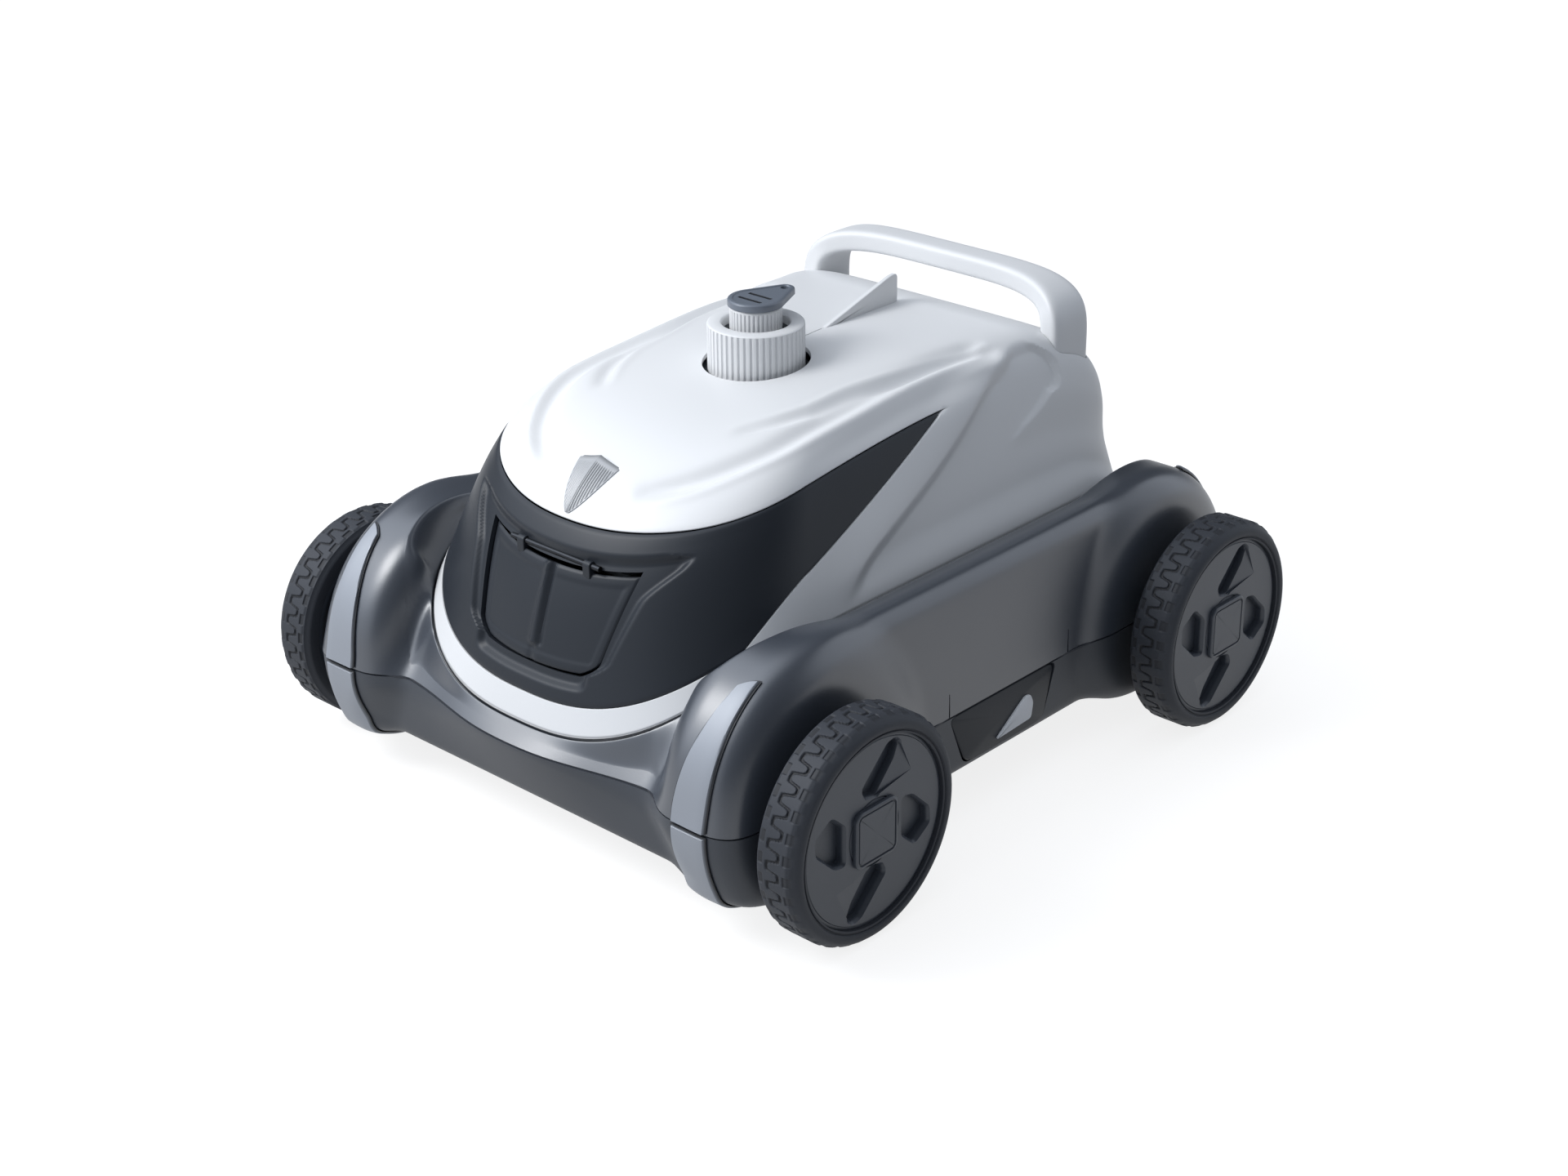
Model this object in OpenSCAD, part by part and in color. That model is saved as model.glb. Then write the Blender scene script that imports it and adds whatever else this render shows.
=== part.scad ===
// Cordless pool cleaner: jet-driven floor robot with four free wheels.
// Origin: on the floor, midway between the axles. +X is the right side, -Y the front, +Z up.

/* [Wheels] */
// Outside diameter of a tyre
tyre_d = 120; // [116:1:124]
// Width of a tyre
tyre_w = 26; // [24:1:28]
// Gap between the hull side and a tyre
wheel_clear = 14.4; // [13.4:0.2:17]
// Distance between the front and rear axles
wheelbase = 298.7; // [294:0.5:303]
// Diameter of the hub on which the tyre sits
rim_d = 100.4; // [96:0.4:104]
// Diameter of the stub axles
axle_d = 8; // [6:0.5:9]
// Radial running clearance of every turning fit
run_clear = 0.05; // [0.02:0.01:0.09]
// Side of the square hub cap
cap_side = 31; // [27:1:33]

/* [Hull] */
// Half width of the hull between the wheels
hull_half_w = 153; // [151:0.5:155]
// Length of the hull beyond each axle
bumper_l = 65.65; // [63:0.05:69]
// Height of the seam between the lower and upper hull
seam_z = 66; // [65:0.25:68]
// Underside of the hull above the floor
belly_z = 27; // [24:0.5:29]
// Wall of the hull shells
hull_wall = 3.2; // [2.6:0.1:4]
// Distance of the side shoulder crest inside the hull side
crest_in = 10; // [8:0.5:12]

/* [Cover] */
// Width of the hull ledge beside the cover
shelf_w = 38; // [36:0.5:40]
// Length of the hull ledge ahead of the cover
shelf_l = 11; // [9:0.5:13]
// Length of each rounded end of the cover
nose_l = 94; // [92:0.5:96]
// Height of the cover foot along the flanks
foot_z = 127; // [125:0.5:129]
// Drop of the cover foot at the nose
foot_drop = 52; // [49:0.5:54]
// Height of the deck
deck_z = 222; // [220:0.5:226]
// Wall of the cover shells
cover_wall = 2.5; // [2:0.1:3]

/* [Deck controls] */
// Distance of the control axis ahead of the centre
control_y = 24; // [20:1:28]
// Diameter of the well in the deck
well_d = 58; // [56:1:62]
// Outside diameter of the locking ring
ring_d = 52; // [48:1:53]
// Bore of the locking ring
ring_bore = 36.4; // [34:0.4:38]
// Diameter of the power knob
knob_d = 28; // [26:0.5:29]
// Height of the top face of the knob cap above the deck
knob_rise = 31; // [28:0.5:34]
// Diameter of the tether eye in the knob cap
eye_d = 4.4; // [3:0.2:5]

/* [Flaps] */
// Thickness of an outlet flap
flap_t = 2.5; // [2:0.1:3]
// Diameter of the flap hinge pin
flap_pin_d = 3; // [2.4:0.1:3.4]
// Clearance around an outlet flap
flap_gap = 0.8; // [0.5:0.1:1.2]

/* [Carrying handle] */
// Height of the top of the handle
handle_top_z = 243; // [240:0.5:248]
// Half width of the handle at its feet
handle_half_w = 87; // [84:0.5:89]
// Thickness of the handle posts
post_t = 13; // [11:0.5:15]

/* [Insides] */
// Outside diameter of the pump casing
pump_d = 84; // [80:1:90]
// Outside diameter of the motor can
motor_d = 60; // [54:1:64]
// Diameter of the impeller
impeller_d = 56; // [48:1:60]
// Diameter of the pump shaft
shaft_d = 6; // [5:0.5:7]
// Clear distance left between stacked inner pieces
seat_gap = 0.1; // [0.05:0.05:0.3]

/* [Hidden] */
$fn = 48;

wheel_r = tyre_d / 2;
cap_top_z = deck_z + knob_rise;
axle_y = wheelbase / 2;
track_half = hull_half_w + wheel_clear + tyre_w;
hull_half_l = axle_y + bumper_l;
crest_half_w = hull_half_w - crest_in;
cover_half_w = hull_half_w - shelf_w;
flank_half_l = hull_half_l - shelf_l - nose_l;
near_seam = 0.5;
white = [0.9, 0.91, 0.92];
graphite = [0.13, 0.14, 0.16];
slate = [0.24, 0.26, 0.29];
steel = [0.75, 0.76, 0.78];

// ---- small helpers
function spow(a, p) = sign(a) * pow(abs(a), p);
function clamp(a, lo, hi) = min(max(a, lo), hi);
function ease(a) = let (t = clamp(a, 0, 1)) t * t * (3 - 2 * t);
function smax(a, b, k) = let (h = clamp(0.5 + 0.5 * (a - b) / k, 0, 1)) b + (a - b) * h + k * h * (1 - h);
function smin(a, b, k) = -smax(-a, -b, k);
function flip(p) = [p[0], -p[1], p[2]];
function rev(v) = [for (i = [len(v) - 1:-1:0]) v[i]];
function unit(v) = v / norm(v);

// Closed plan outline with straight flanks and superelliptic ends.
// u runs 0..6 round it: 0 front centre, 1 to 2 right flank, 3 rear centre, 4 to 5 left flank.
function plan(u, w, yc, l, n) =
  let (v = u < 0 ? u + 6 : (u > 6 ? u - 6 : u), m = v > 3 ? 6 - v : v, k = m < 1.5 ? m : 3 - m,
       a = min(k, 1) * 90, x = w * pow(sin(a), 2 / n),
       y = k <= 1 ? yc + l * pow(cos(a), 2 / n) : yc * (1.5 - k) / 0.5)
  [v > 3 ? -x : x, m < 1.5 ? -y : y];

// Columns shared by every shell: fourteen on each rounded quarter, closer at its ends, and four on
// each half flank, the last of them at the tip of the front panel.
quarter = concat([for (i = [0:13]) (i - 0.4 * sin(180 * i / 7)) / 14], [1, 1.15, 1.3, 1.43]);
back_quarter = concat([1.5], [for (i = [len(quarter) - 1:-1:1]) quarter[i]]);
cols = concat(quarter, [for (q = back_quarter) 3 - q],
  [for (q = quarter) 3 + q], [for (q = back_quarter) 6 - q]);

// ---- cover surface
cover_n = 2.6;
cover_top_n = 2.2;
cover_rear_n = 3.4;
function from_nose(u) = u > 3 ? 6 - u : abs(u);
function edge_n(u) = from_nose(u) > 1.5 ? cover_rear_n : cover_n;
function cover_plan(u, grow = 0) =
  plan(u, cover_half_w + grow, flank_half_l, nose_l + grow, edge_n(u < 0 ? -u : u));
function foot_height(y) =
  foot_z - foot_drop * pow(max(abs(y) - flank_half_l, 0) / nose_l, 2.1);
function deck_height(y) =
  deck_z - 16 * pow(max(30 - y, 0) / 185, 1.3) - 12 * pow(max(y - flank_half_l + 15, 0) / 41, 1.6);
function end_share(y) = ease((abs(y) - 80) / (flank_half_l + nose_l - 80));
function rear_share(y) = ease((y + 60) / 210);
// Squareness of the shoulder: the exponent of the superellipse from flank to deck.
function shoulder(u) =
  let (y = cover_plan(u)[1], m = 9 - 4 * end_share(y))
  m + (11 - m) * rear_share(y);
// Swelling of the rear shoulders, from which the handle feet rise.
function swell(u, h) =
  let (v = from_nose(u)) 0.05 * ease((v - 2) / 0.35) * ease((2.7 - v) / 0.3) * ease((h - 0.5) / 0.4);
// Point of the cover at column u, height share h (0 foot, 1 deck) and width share s (1 flank, 0 centre).
function cover_at(u, h, s) =
  let (b = cover_plan(u),
       t = from_nose(u) > 1.5 ? b : plan(u, cover_half_w, flank_half_l, nose_l, cover_top_n),
       p = b + (t - b) * clamp(h / 0.7, 0, 1), q = s * (1 - (0.20 - 0.028 * end_share(b[1])) * h),
       cy = 12 + 48 * rear_share(b[1]), y = cy + (p[1] - cy) * q)
  [p[0] * q * (1 + swell(u, h)), y, foot_height(b[1]) + (deck_height(y) - foot_height(b[1])) * h];
function cover_point(u, h) = let (m = shoulder(u)) cover_at(u, h, pow(max(1 - pow(h, m), 0), 1 / m));
// The same surface by width share, for the deck: f = 1 at height share h1, 0 in the middle.
function deck_point(u, h1, f) =
  let (m = shoulder(u), s = f * pow(1 - pow(h1, m), 1 / m)) cover_at(u, pow(1 - pow(s, m), 1 / m), s);
function deck_in(u, h1, f, depth) =
  let (e = 0.01, du = deck_point(u + e, h1, f) - deck_point(u - e, h1, f),
       df = deck_point(u, h1, f - e) - deck_point(u, h1, min(f + e, 1)))
  deck_point(u, h1, f) - unit(cross(du, df)) * depth;
function cover_normal(u, h) =
  let (e = 0.004, du = cover_point(u + e, h) - cover_point(u - e, h),
       dh = cover_point(u, min(h + e, 0.999)) - cover_point(u, max(h - e, 0)))
  unit(cross(du, dh));
function cover_in(u, h, depth) = cover_point(u, h) - cover_normal(u, h) * depth;

// Lower and upper edges of the dark panels that wrap the two ends.
panel_low = 0.115;
function panel_top(u) = let (v = from_nose(u)) 0.755 + 0.047 * ease((v - 0.5) / 1.07);
function panel_foot(u) =
  let (v = from_nose(u), w = 3 - v)
  min(panel_top(u), v < 1.6 ? max(panel_low, panel_low + 0.858 * (v - 0.76))
    : max(panel_low, panel_low + 2.2 * (w - 0.3)));

// ---- hull surface, as a field that is negative inside
axle_z = wheel_r;
fender_in = hull_half_w - 52;
fender_half = 27;
fender_low = 15;
function hull_field(p) =
  let (ax = abs(p[0]), ay = abs(p[1]), z = p[2], up = max(z - seam_z, 0), lo = max(seam_z - z, 0),
       bump = exp(-pow(ax / 62, 2.4)),
       side = ax - (hull_half_w - 7 * pow(up / 76, 2) - 0.06 * lo),
       wall = ay - (hull_half_l - 12 + 12 * bump
         - (0.72 + 0.5 * pow(bump, 3)) * up - (0.09 + 0.33 * bump) * lo),
       front = z > seam_z ? wall / 1.28 : wall,
       skin = foot_z + 1 - 55 * pow(max(ay - flank_half_l + 2, 0) / (nose_l + 1), 2.2) + 20 * bump
         + 13 * (1 - bump) * clamp((ax - crest_half_w + 30) / 30, -0.6, 1.15),
       tub = smax(smax(smax(side, front, 22), (z - skin) / 1.15, 14), belly_z - z, 8),
       rise = z > axle_z + 2 ? 78 : 60,
       tuck = 7 * clamp((axle_z - z) / 25, 0, 1),
       wheel_arch = (sqrt(pow((ay - axle_y + 4.35) / 68, 2) + pow((z - axle_z - 2) / rise, 2)) - 1) * 68,
       fender = smax(smax(wheel_arch, abs(ax - fender_in - fender_half - tuck) - fender_half + tuck, 20),
         fender_low - z, 8))
  smin(tub, fender, 16);
// Last point inside the hull on the ray from o along d, found in steps of 7 mm and then halved.
function last_in(o, d, t) = t <= 0 || hull_field(o + d * t) < 0 ? t : last_in(o, d, t - 7);
function halve(o, d, lo, hi, n) =
  n == 0 ? o + d * lo : let (m = (lo + hi) / 2)
  hull_field(o + d * m) < 0 ? halve(o, d, m, hi, n - 1) : halve(o, d, lo, m, n - 1);
function cast(o, d, hi = 140) = let (t = last_in(o, d, hi)) halve(o, d, t, t + 7, 8);

// Spine from which the hull rays fan out, and the foot line of the cover.
function spine(u) = let (p = plan(u, cover_half_w - 17, flank_half_l, nose_l - 34, cover_n)) [p[0], p[1], seam_z];
function foot(u, grow, dz) =
  let (b = cover_plan(u), p = cover_plan(u, grow)) [p[0], p[1], foot_height(b[1]) + dz];
function heading(u) = let (d = foot(u, 20, 0) - spine(u)) unit([d[0], d[1], 0]);
function foot_angle(u) =
  let (d = foot(u, 0, 0) - spine(u)) atan2(d[2], norm([d[0], d[1]]));
function ray(u, a) = heading(u) * cos(a) + [0, 0, sin(a)];
function hull_point(u, a, depth = 0, z0 = 0) =
  let (o = spine(u) + [0, 0, z0], p = cast(o, ray(u, a))) p - ray(u, a) * depth;
// Top skin right above or below a point given by its plan position.
function skin_point(p) = cast([p[0], p[1], seam_z], [0, 0, 1], 98);
// Width of the shore round the cover, where the skin rises or falls to meet the foot of the cover.
function span(u) = (hull_point(u, 0, 0, near_seam) - foot(u, 0.35, 0)) * heading(u);
function shore(u) = min(9, 0.55 * span(u));
function shore_point(u, share) =
  let (edge = foot(u, 0.35, 0), p = skin_point(foot(u, 0.35 + shore(u) * share, 0)))
  [p[0], p[1], p[2] + (edge[2] - skin_point(edge)[2]) * (1 - ease(share))];
// Fan point, kept out from the shore by k small steps.
function fan_point(u, a, k) =
  let (o = spine(u) + [0, 0, near_seam], h = heading(u), p = hull_point(u, a, 0, near_seam),
       reach = (foot(u, 0.35, 0) - o) * h + shore(u) + k * min(0.8, 0.04 * span(u)))
  (p - o) * h > reach ? p : skin_point(o + h * reach);

// ---- mesh builders: rows are closed loops of equal length
function tri_strip(a, b, n) =
  [for (i = [0:n - 1]) let (j = (i + 1) % n) each [[a + i, b + j, a + j], [a + i, b + i, b + j]]];
// Cup: rows joined in order, the first and last row closed by a face.
module cup(rows) {
  n = len(rows[0]);
  k = len(rows);
  pts = [for (r = rows) each r];
  polyhedron(pts, concat([[for (i = [0:n - 1]) i]],
    [for (r = [0:k - 2]) each tri_strip(r * n, (r + 1) * n, n)],
    [[for (i = [n - 1:-1:0]) (k - 1) * n + i]]), convexity = 8);
}
// Hoop: rows joined in order and the last row joined to the first.
module hoop(rows) {
  n = len(rows[0]);
  k = len(rows);
  pts = [for (r = rows) each r];
  polyhedron(pts, [for (r = [0:k - 1]) each tri_strip(r * n, ((r + 1) % k) * n, n)], convexity = 8);
}
// Slab between two open grids of points with the same shape.
module slab(outer, inner) {
  k = len(outer);
  n = len(outer[0]);
  m = n * k;
  pts = concat([for (r = outer) each r], [for (r = inner) each r]);
  edge = concat([for (i = [0:n - 2]) i], [for (r = [0:k - 2]) r * n + n - 1],
    [for (i = [n - 1:-1:1]) (k - 1) * n + i], [for (r = [k - 1:-1:1]) r * n]);
  e = len(edge);
  polyhedron(pts, concat(
    [for (r = [0:k - 2], i = [0:n - 2]) let (a = r * n + i)
      each [[a, a + n, a + n + 1], [a, a + n + 1, a + 1]]],
    [for (r = [0:k - 2], i = [0:n - 2]) let (a = m + r * n + i)
      each [[a, a + n + 1, a + n], [a, a + 1, a + n + 1]]],
    [for (i = [0:e - 1]) let (a = edge[i], b = edge[(i + 1) % e]) each [[a, b, b + m], [a, b + m, a + m]]]),
    convexity = 6);
}
module box(lo, hi) { translate(lo) cube(hi - lo); }
module along_x(r, x0, x1, y, z) { translate([x0, y, z]) rotate([0, 90, 0]) cylinder(r = r, h = x1 - x0); }

// ---- hull shells
floor_z = belly_z + hull_wall;
module lower_shell() {
  outer = [-80, -70, -60, -49, -38, -26, -13, 0];
  cup(concat(
    [[for (u = cols) let (s = spine(u)) [s[0], s[1], belly_z]]],
    [for (a = outer) [for (u = cols) hull_point(u, a, 0, -near_seam)]],
    [for (a = rev(outer)) [for (u = cols) hull_point(u, a, hull_wall, -near_seam)]],
    [[for (u = cols) let (s = spine(u)) [s[0], s[1], floor_z]]]));
}
module upper_shell() {
  n = 9;
  shares = [0.15, 0.5, 0.9];
  function skin(u, i) = fan_point(u, foot_angle(u) * i / n, n - i);
  function slope(p) = let (f = hull_field(p), e = 0.5)
    unit([hull_field(p + [e, 0, 0]) - f, hull_field(p + [0, e, 0]) - f, hull_field(p + [0, 0, e]) - f]);
  function inside(u, i) =
    let (p = skin(u, i), s = slope(p), q = p - hull_wall * (i < 1 ? unit([s[0], s[1], 0]) : s))
    [q[0], q[1], max(q[2], seam_z + near_seam)];
  hoop(concat(
    [for (i = [0:n - 1]) [for (u = cols) skin(u, i)]],
    [for (k = rev(shares)) [for (u = cols) shore_point(u, k)]],
    [for (k = [[0.35, 0], [0.35, -2], [-6, -2], [-6, -5], [1, -5.5]]) [for (u = cols) foot(u, k[0], k[1])]],
    [for (k = [0.5, 0.9]) [for (u = cols) shore_point(u, k) - [0, 0, 7 - 3 * k]]],
    [for (i = [n - 1:-1:0]) [for (u = cols) inside(u, i)]]));
}

// Screw towers that tie the two hull halves together, just inside the side walls.
tower_x = hull_half_w - 12.5;
tower_y = 66;
tower_r = 4.5;
screw_r = 2;
upper_tower_h = 22;
module at_towers() {
  for (sx = [0, 1], sy = [0, 1]) mirror([sx, 0, 0]) mirror([0, sy, 0])
    translate([tower_x, tower_y, 0]) children();
}

// Stub axle carriers in the corners of the lower hull.
carrier_in = hull_half_w - 41;
carrier_half = 12;
carrier_low = 30;
module at_wheels() {
  for (sx = [0, 1], sy = [-1, 1]) mirror([sx, 0, 0]) translate([0, sy * axle_y, axle_z]) children();
}

// Intake: two slots through the floor, each closed from above by a valve plate.
slot_half = 50;
slot_near = 3;
slot_far = 24;
valve_half = slot_half + 3;
valve_t = 1.8;
valve_pin_r = 1.4;
valve_pin_y = slot_far + 4.5;
valve_pin_z = floor_z + 2;
lug_t = 4;
seat_half = [slot_half + 9, slot_far + 9];

// Side latches: a trapezoid panel in a window of the lower hull, turning on a pivot inside the wall.
latch_top = [-45, 44];
latch_low = [-30, 36];
latch_z = [33.5, 64.6];
latch_gap = 0.5;
latch_t = 3;
latch_face = hull_half_w - 0.8;
latch_pivot = [hull_half_w - 3.7, 43];
latch_pin_r = 1.2;
module latch_outline(grow) {
  polygon([[latch_low[0] - grow, latch_z[0] - grow], [latch_low[1] + grow, latch_z[0] - grow],
    [latch_top[1] + grow, latch_z[1] + grow], [latch_top[0] - grow, latch_z[1] + grow]]);
}
// Stands a Y-Z outline up at x0, thick towards +X.
module stand(x0, t) { translate([x0, 0, 0]) rotate([90, 0, 90]) linear_extrude(t) children(); }

module lower_hull() {
  color(graphite) difference() {
    union() {
      lower_shell();
      at_wheels() box([carrier_in, -carrier_half, carrier_low - axle_z], [hull_half_w + 3, carrier_half, 4.5]);
      at_towers() translate([0, 0, floor_z]) {
        cylinder(r = tower_r, h = seam_z - near_seam - floor_z);
        box([-1.5, -1.5, 8], [10, 1.5, seam_z - near_seam - floor_z]);
      }
      for (sx = [0, 1]) mirror([sx, 0, 0]) for (y = [latch_low[0] - 9.2, latch_low[1] + 3.8])
        box([latch_pivot[0] - 6, y, floor_z - 1], [latch_pivot[0] + 0.8, y + 3.4, latch_pivot[1] + 4]);
    }
    at_wheels() along_x(axle_d / 2, carrier_in + 4, hull_half_w + 10, 0, 0);
    at_towers() translate([0, 0, belly_z - 2]) cylinder(r = screw_r + 0.1, h = 60);
    at_towers() translate([0, 0, belly_z - 2]) cylinder(r = screw_r + 1.7, h = 8);
    box([-seat_half[0] - seat_gap, -seat_half[1] - seat_gap, belly_z - 5],
      [seat_half[0] + seat_gap, seat_half[1] + seat_gap, floor_z + 5]);
    for (sx = [0, 1]) mirror([sx, 0, 0]) {
      stand(hull_half_w - 6.8, 12) latch_outline(latch_gap);
      translate([latch_pivot[0], latch_low[0] - 10, latch_pivot[1]]) rotate([-90, 0, 0])
        cylinder(r = latch_pin_r + run_clear, h = latch_low[1] - latch_low[0] + 20);
    }
    for (sx = [-1, 1], sy = [-1, 1]) translate([sx * plate_screw_x, sy * plate_screw_y, belly_z - 2])
      cylinder(r = screw_r, h = 8);
  }
}
// Valve seat: drops into the floor from above, and the screws of the intake plate clamp its rim.
module intake_seat() {
  x = seat_half[0];
  y = seat_half[1];
  color(graphite) difference() {
    union() {
      box([-x, -y, belly_z + 0.05], [x, y, floor_z]);
      difference() {
        union() {
          box([-x - 8.5, -y - 4, floor_z + seat_gap], [x + 8.5, y + 4, floor_z + 1.7]);
          box([-x, -y, floor_z - 1], [x, y, floor_z + 1.7]);
        }
        box([2 - x, 2 - y, floor_z], [x - 2, y - 2, floor_z + 3]);
      }
      for (sx = [-1, 1], sy = [-1, 1])
        translate([sx * (valve_half + 1.5 + lug_t / 2), sy * valve_pin_y, floor_z - 1])
          box([-lug_t / 2, -3.5, 0], [lug_t / 2, 3.5, 6.5]);
    }
    for (sy = [0, 1]) mirror([0, sy, 0])
      box([-slot_half, slot_near, belly_z - 5], [slot_half, slot_far, floor_z + 5]);
    for (sy = [-1, 1]) along_x(valve_pin_r + run_clear, -80, 80, sy * valve_pin_y, valve_pin_z);
    for (sx = [-1, 1], sy = [-1, 1]) translate([sx * plate_screw_x, sy * plate_screw_y, belly_z - 2])
      cylinder(r = screw_r, h = 12);
  }
}
module upper_hull() {
  color(slate) difference() {
    union() {
      upper_shell();
      at_towers() translate([0, 0, seam_z + near_seam]) {
        cylinder(r = tower_r, h = upper_tower_h);
        box([-1.5, -1.5, 0], [10, 1.5, upper_tower_h]);
      }
    }
    at_towers() translate([0, 0, seam_z]) cylinder(r = screw_r + 0.1, h = upper_tower_h - 4);
  }
}
// Flat seal in the seam between the hull halves.
module hull_gasket() {
  color([0.05, 0.05, 0.05]) difference() {
    translate([0, 0, seam_z - near_seam]) linear_extrude(2 * near_seam) difference() {
      polygon([for (u = cols) let (p = hull_point(u, 0, 0.7)) [p[0], p[1]]]);
      polygon([for (u = cols) let (p = hull_point(u, 0, hull_wall - 0.3)) [p[0], p[1]]]);
    }
    at_towers() translate([0, 0, seam_z - 2]) cylinder(r = tower_r + 0.2, h = 4);
  }
}

// ---- cover shells and end panels
panel_fit = 0.0025;
panel_end = 1.54;
tail_end = 0.57;
module side_shell() {
  shares = [0, 0.15, 0.35, 0.55, 0.75, 0.9, 1];
  color(white) difference() {
    hoop(concat([[for (u = cols) foot(u, 0, -1.8)]],
      [for (s = shares) [for (u = cols) cover_point(u, panel_foot(u) * s)]],
      [for (s = rev(shares)) [for (u = cols) cover_in(u, panel_foot(u) * s, cover_wall)]],
      [[for (u = cols) foot(u, -cover_wall, -1.8)]]));
    handle_sockets();
  }
}
module roof_shell() {
  shares = [1, 0.985, 0.96, 0.93, 0.89, 0.84, 0.75, 0.6, 0.35, 0.1];
  color(white) difference() {
    union() {
      cup(concat([for (f = rev(shares)) [for (u = cols) deck_in(u, panel_top(u) + panel_fit, f, cover_wall)]],
        [for (f = shares) [for (u = cols) deck_point(u, panel_top(u) + panel_fit, f)]]));
      deck_fin();
      handle_lugs();
    }
    at_handle_screws() along_x(screw_r + 0.1, -10, 5, 0, 0);
    translate([0, -control_y, deck_z - 20]) cylinder(d = well_d, h = 40);
    handle_sockets();
  }
}
// Upright keel behind the controls, moulded with the deck.
fin_t = 3;
fin_y = [13, 90];
fin_top = 238.5;
module deck_fin() {
  stand(-fin_t / 2, fin_t) polygon([[fin_y[0], deck_z - 2], [fin_y[1], deck_z - 2], [fin_y[1], fin_top]]);
}
module end_panel(us) {
  shares = [0, 0.12, 0.3, 0.5, 0.7, 0.88, 1];
  function at(u, s) = let (a = panel_foot(u) + panel_fit, b = panel_top(u) - panel_fit) a + (b - a) * s;
  slab([for (s = shares) [for (u = us) cover_point(u, at(u, s))]],
    [for (s = shares) [for (u = us) cover_in(u, at(u, s), cover_wall)]]);
}
front_half = concat([for (q = quarter) if (q > 0) q], [1.5, panel_end]);
tail_half = concat([for (q = quarter) if (q > 0 && q < tail_end - 0.01) q], [tail_end]);
front_us = concat([for (c = rev(front_half)) -c], [0], front_half);
tail_us = concat([for (c = rev(tail_half)) 3 - c], [3], [for (c = tail_half) 3 + c]);

// ---- outlet flaps: curved plates that hang in windows of the end panels
flap_low_h = 0.24;
flap_top_h = 0.615;
flap_low_x = 41;
flap_top_x = 56;
flap_depth = 3;
function flap_half(t, grow) =
  flap_low_x + (flap_top_x - flap_low_x) * t - 9 * pow(1 - min(t / 0.14, 1), 2) + grow;
// Column at which an end of the cover reaches half width x at height share h.
function col_at(x, h, tail) =
  let (w = cover_point(1, h)[0], n = tail ? cover_rear_n : 2.4,
       c = sign(x) * asin(pow(min(abs(x) / w, 1), n / 2)) / 90) tail ? 3 - c : c;
function flap_grid(depth, grow, tail) =
  let (mm = grow / 130, a = flap_low_h - mm, b = flap_top_h + mm * 1.6)
  [for (i = [0:8]) let (t = i / 8, h = a + (b - a) * t, x = flap_half(t, grow))
    [for (j = tail ? [5:-1:-5] : [-5:5]) cover_in(col_at(x * j / 5, h, tail), h, depth)]];
function flap_pin(tail) =
  cover_in(col_at(27, flap_top_h, tail), flap_top_h, flap_depth + flap_t / 2) + [0, 0, tail ? 3 : 4];
knuckle_r = flap_pin_d / 2 + 0.9;
clip_x = 29.5;
knuckle_x = 24;
function window_top(tail) = flap_pin(tail)[2] + knuckle_r + 0.5;
module flap_window(tail) {
  p = flap_pin(tail);
  slab(flap_grid(-8, flap_gap, tail), flap_grid(14, flap_gap, tail));
  box([-knuckle_x - 9, p[1] - 12, p[2] - 6], [knuckle_x + 9, p[1] + 12, window_top(tail)]);
}
module flap(tail) {
  p = flap_pin(tail);
  difference() {
    union() {
      slab(flap_grid(flap_depth, 0, tail), flap_grid(flap_depth + flap_t, 0, tail));
      for (x = [-knuckle_x, knuckle_x]) {
        box([x - 2.5, p[1] - knuckle_r, p[2] - 6], [x + 2.5, p[1] + knuckle_r, p[2]]);
        along_x(knuckle_r, x - 2.5, x + 2.5, p[1], p[2]);
      }
    }
    along_x(flap_pin_d / 2 + run_clear, -40, 40, p[1], p[2]);
  }
}
// Hooks on the end panel that hold the hinge pin.
module flap_clips(tail) {
  p = flap_pin(tail);
  difference() {
    for (x = [-clip_x, clip_x]) {
      box([x - 1.8, p[1] - 2.3, p[2]], [x + 1.8, p[1] + 2.3, window_top(tail) + 3]);
      along_x(2.3, x - 1.8, x + 1.8, p[1], p[2]);
    }
    along_x(flap_pin_d / 2, -40, 40, p[1], p[2]);
  }
}
module panel_with_window(us, tail) {
  color(graphite) {
    difference() {
      end_panel(us);
      flap_window(tail);
    }
    flap_clips(tail);
  }
}
module visor() { panel_with_window(front_us, false); }
module tail_panel() { panel_with_window(tail_us, true); }
module front_flap() { color(graphite) flap(false); }
module tail_flap() { color(graphite) flap(true); }
module flap_pins() {
  color(steel) for (tail = [false, true])
    along_x(flap_pin_d / 2, -clip_x - 2.5, clip_x + 2.5, flap_pin(tail)[1], flap_pin(tail)[2]);
}

// Shield-shaped window of the status lights on the nose.
lens_half = 17;
lens_t = 2.4;
module indicator_lens() {
  hs = [0.775, 0.795, 0.82, 0.85, 0.875, 0.895, 0.91];
  function wide(h) = lens_half * pow((h - 0.767) / 0.143, 0.75);
  function at(h, j, lift) =
    cover_in(col_at(wide(h) * j / 3, h, false), h, -0.5 - lift * (1 - 0.5 * abs(j) / 3));
  color([0.75, 0.77, 0.79])
    slab([for (h = hs) [for (j = [-3:3]) at(h, j, lens_t)]], [for (h = hs) [for (j = [-3:3]) at(h, j, 0)]]);
}

// ---- carrying handle: a hoop whose feet pass down through the cover shoulders
handle_foot_z = 177;
arch_z = 200;
bar_t = 12.5;
function handle_section(wx, wy, grow = 0) =
  [for (i = [0:11]) let (a = i * 30 + 15)
    [(wx / 2 + grow) * spow(cos(a), 0.55), (wy / 2 + grow) * spow(sin(a), 0.55)]];
foot_w = 31;
bar_w = 19;
foot_y = flank_half_l + 20.5;
bar_y = foot_y + 7;
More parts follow.
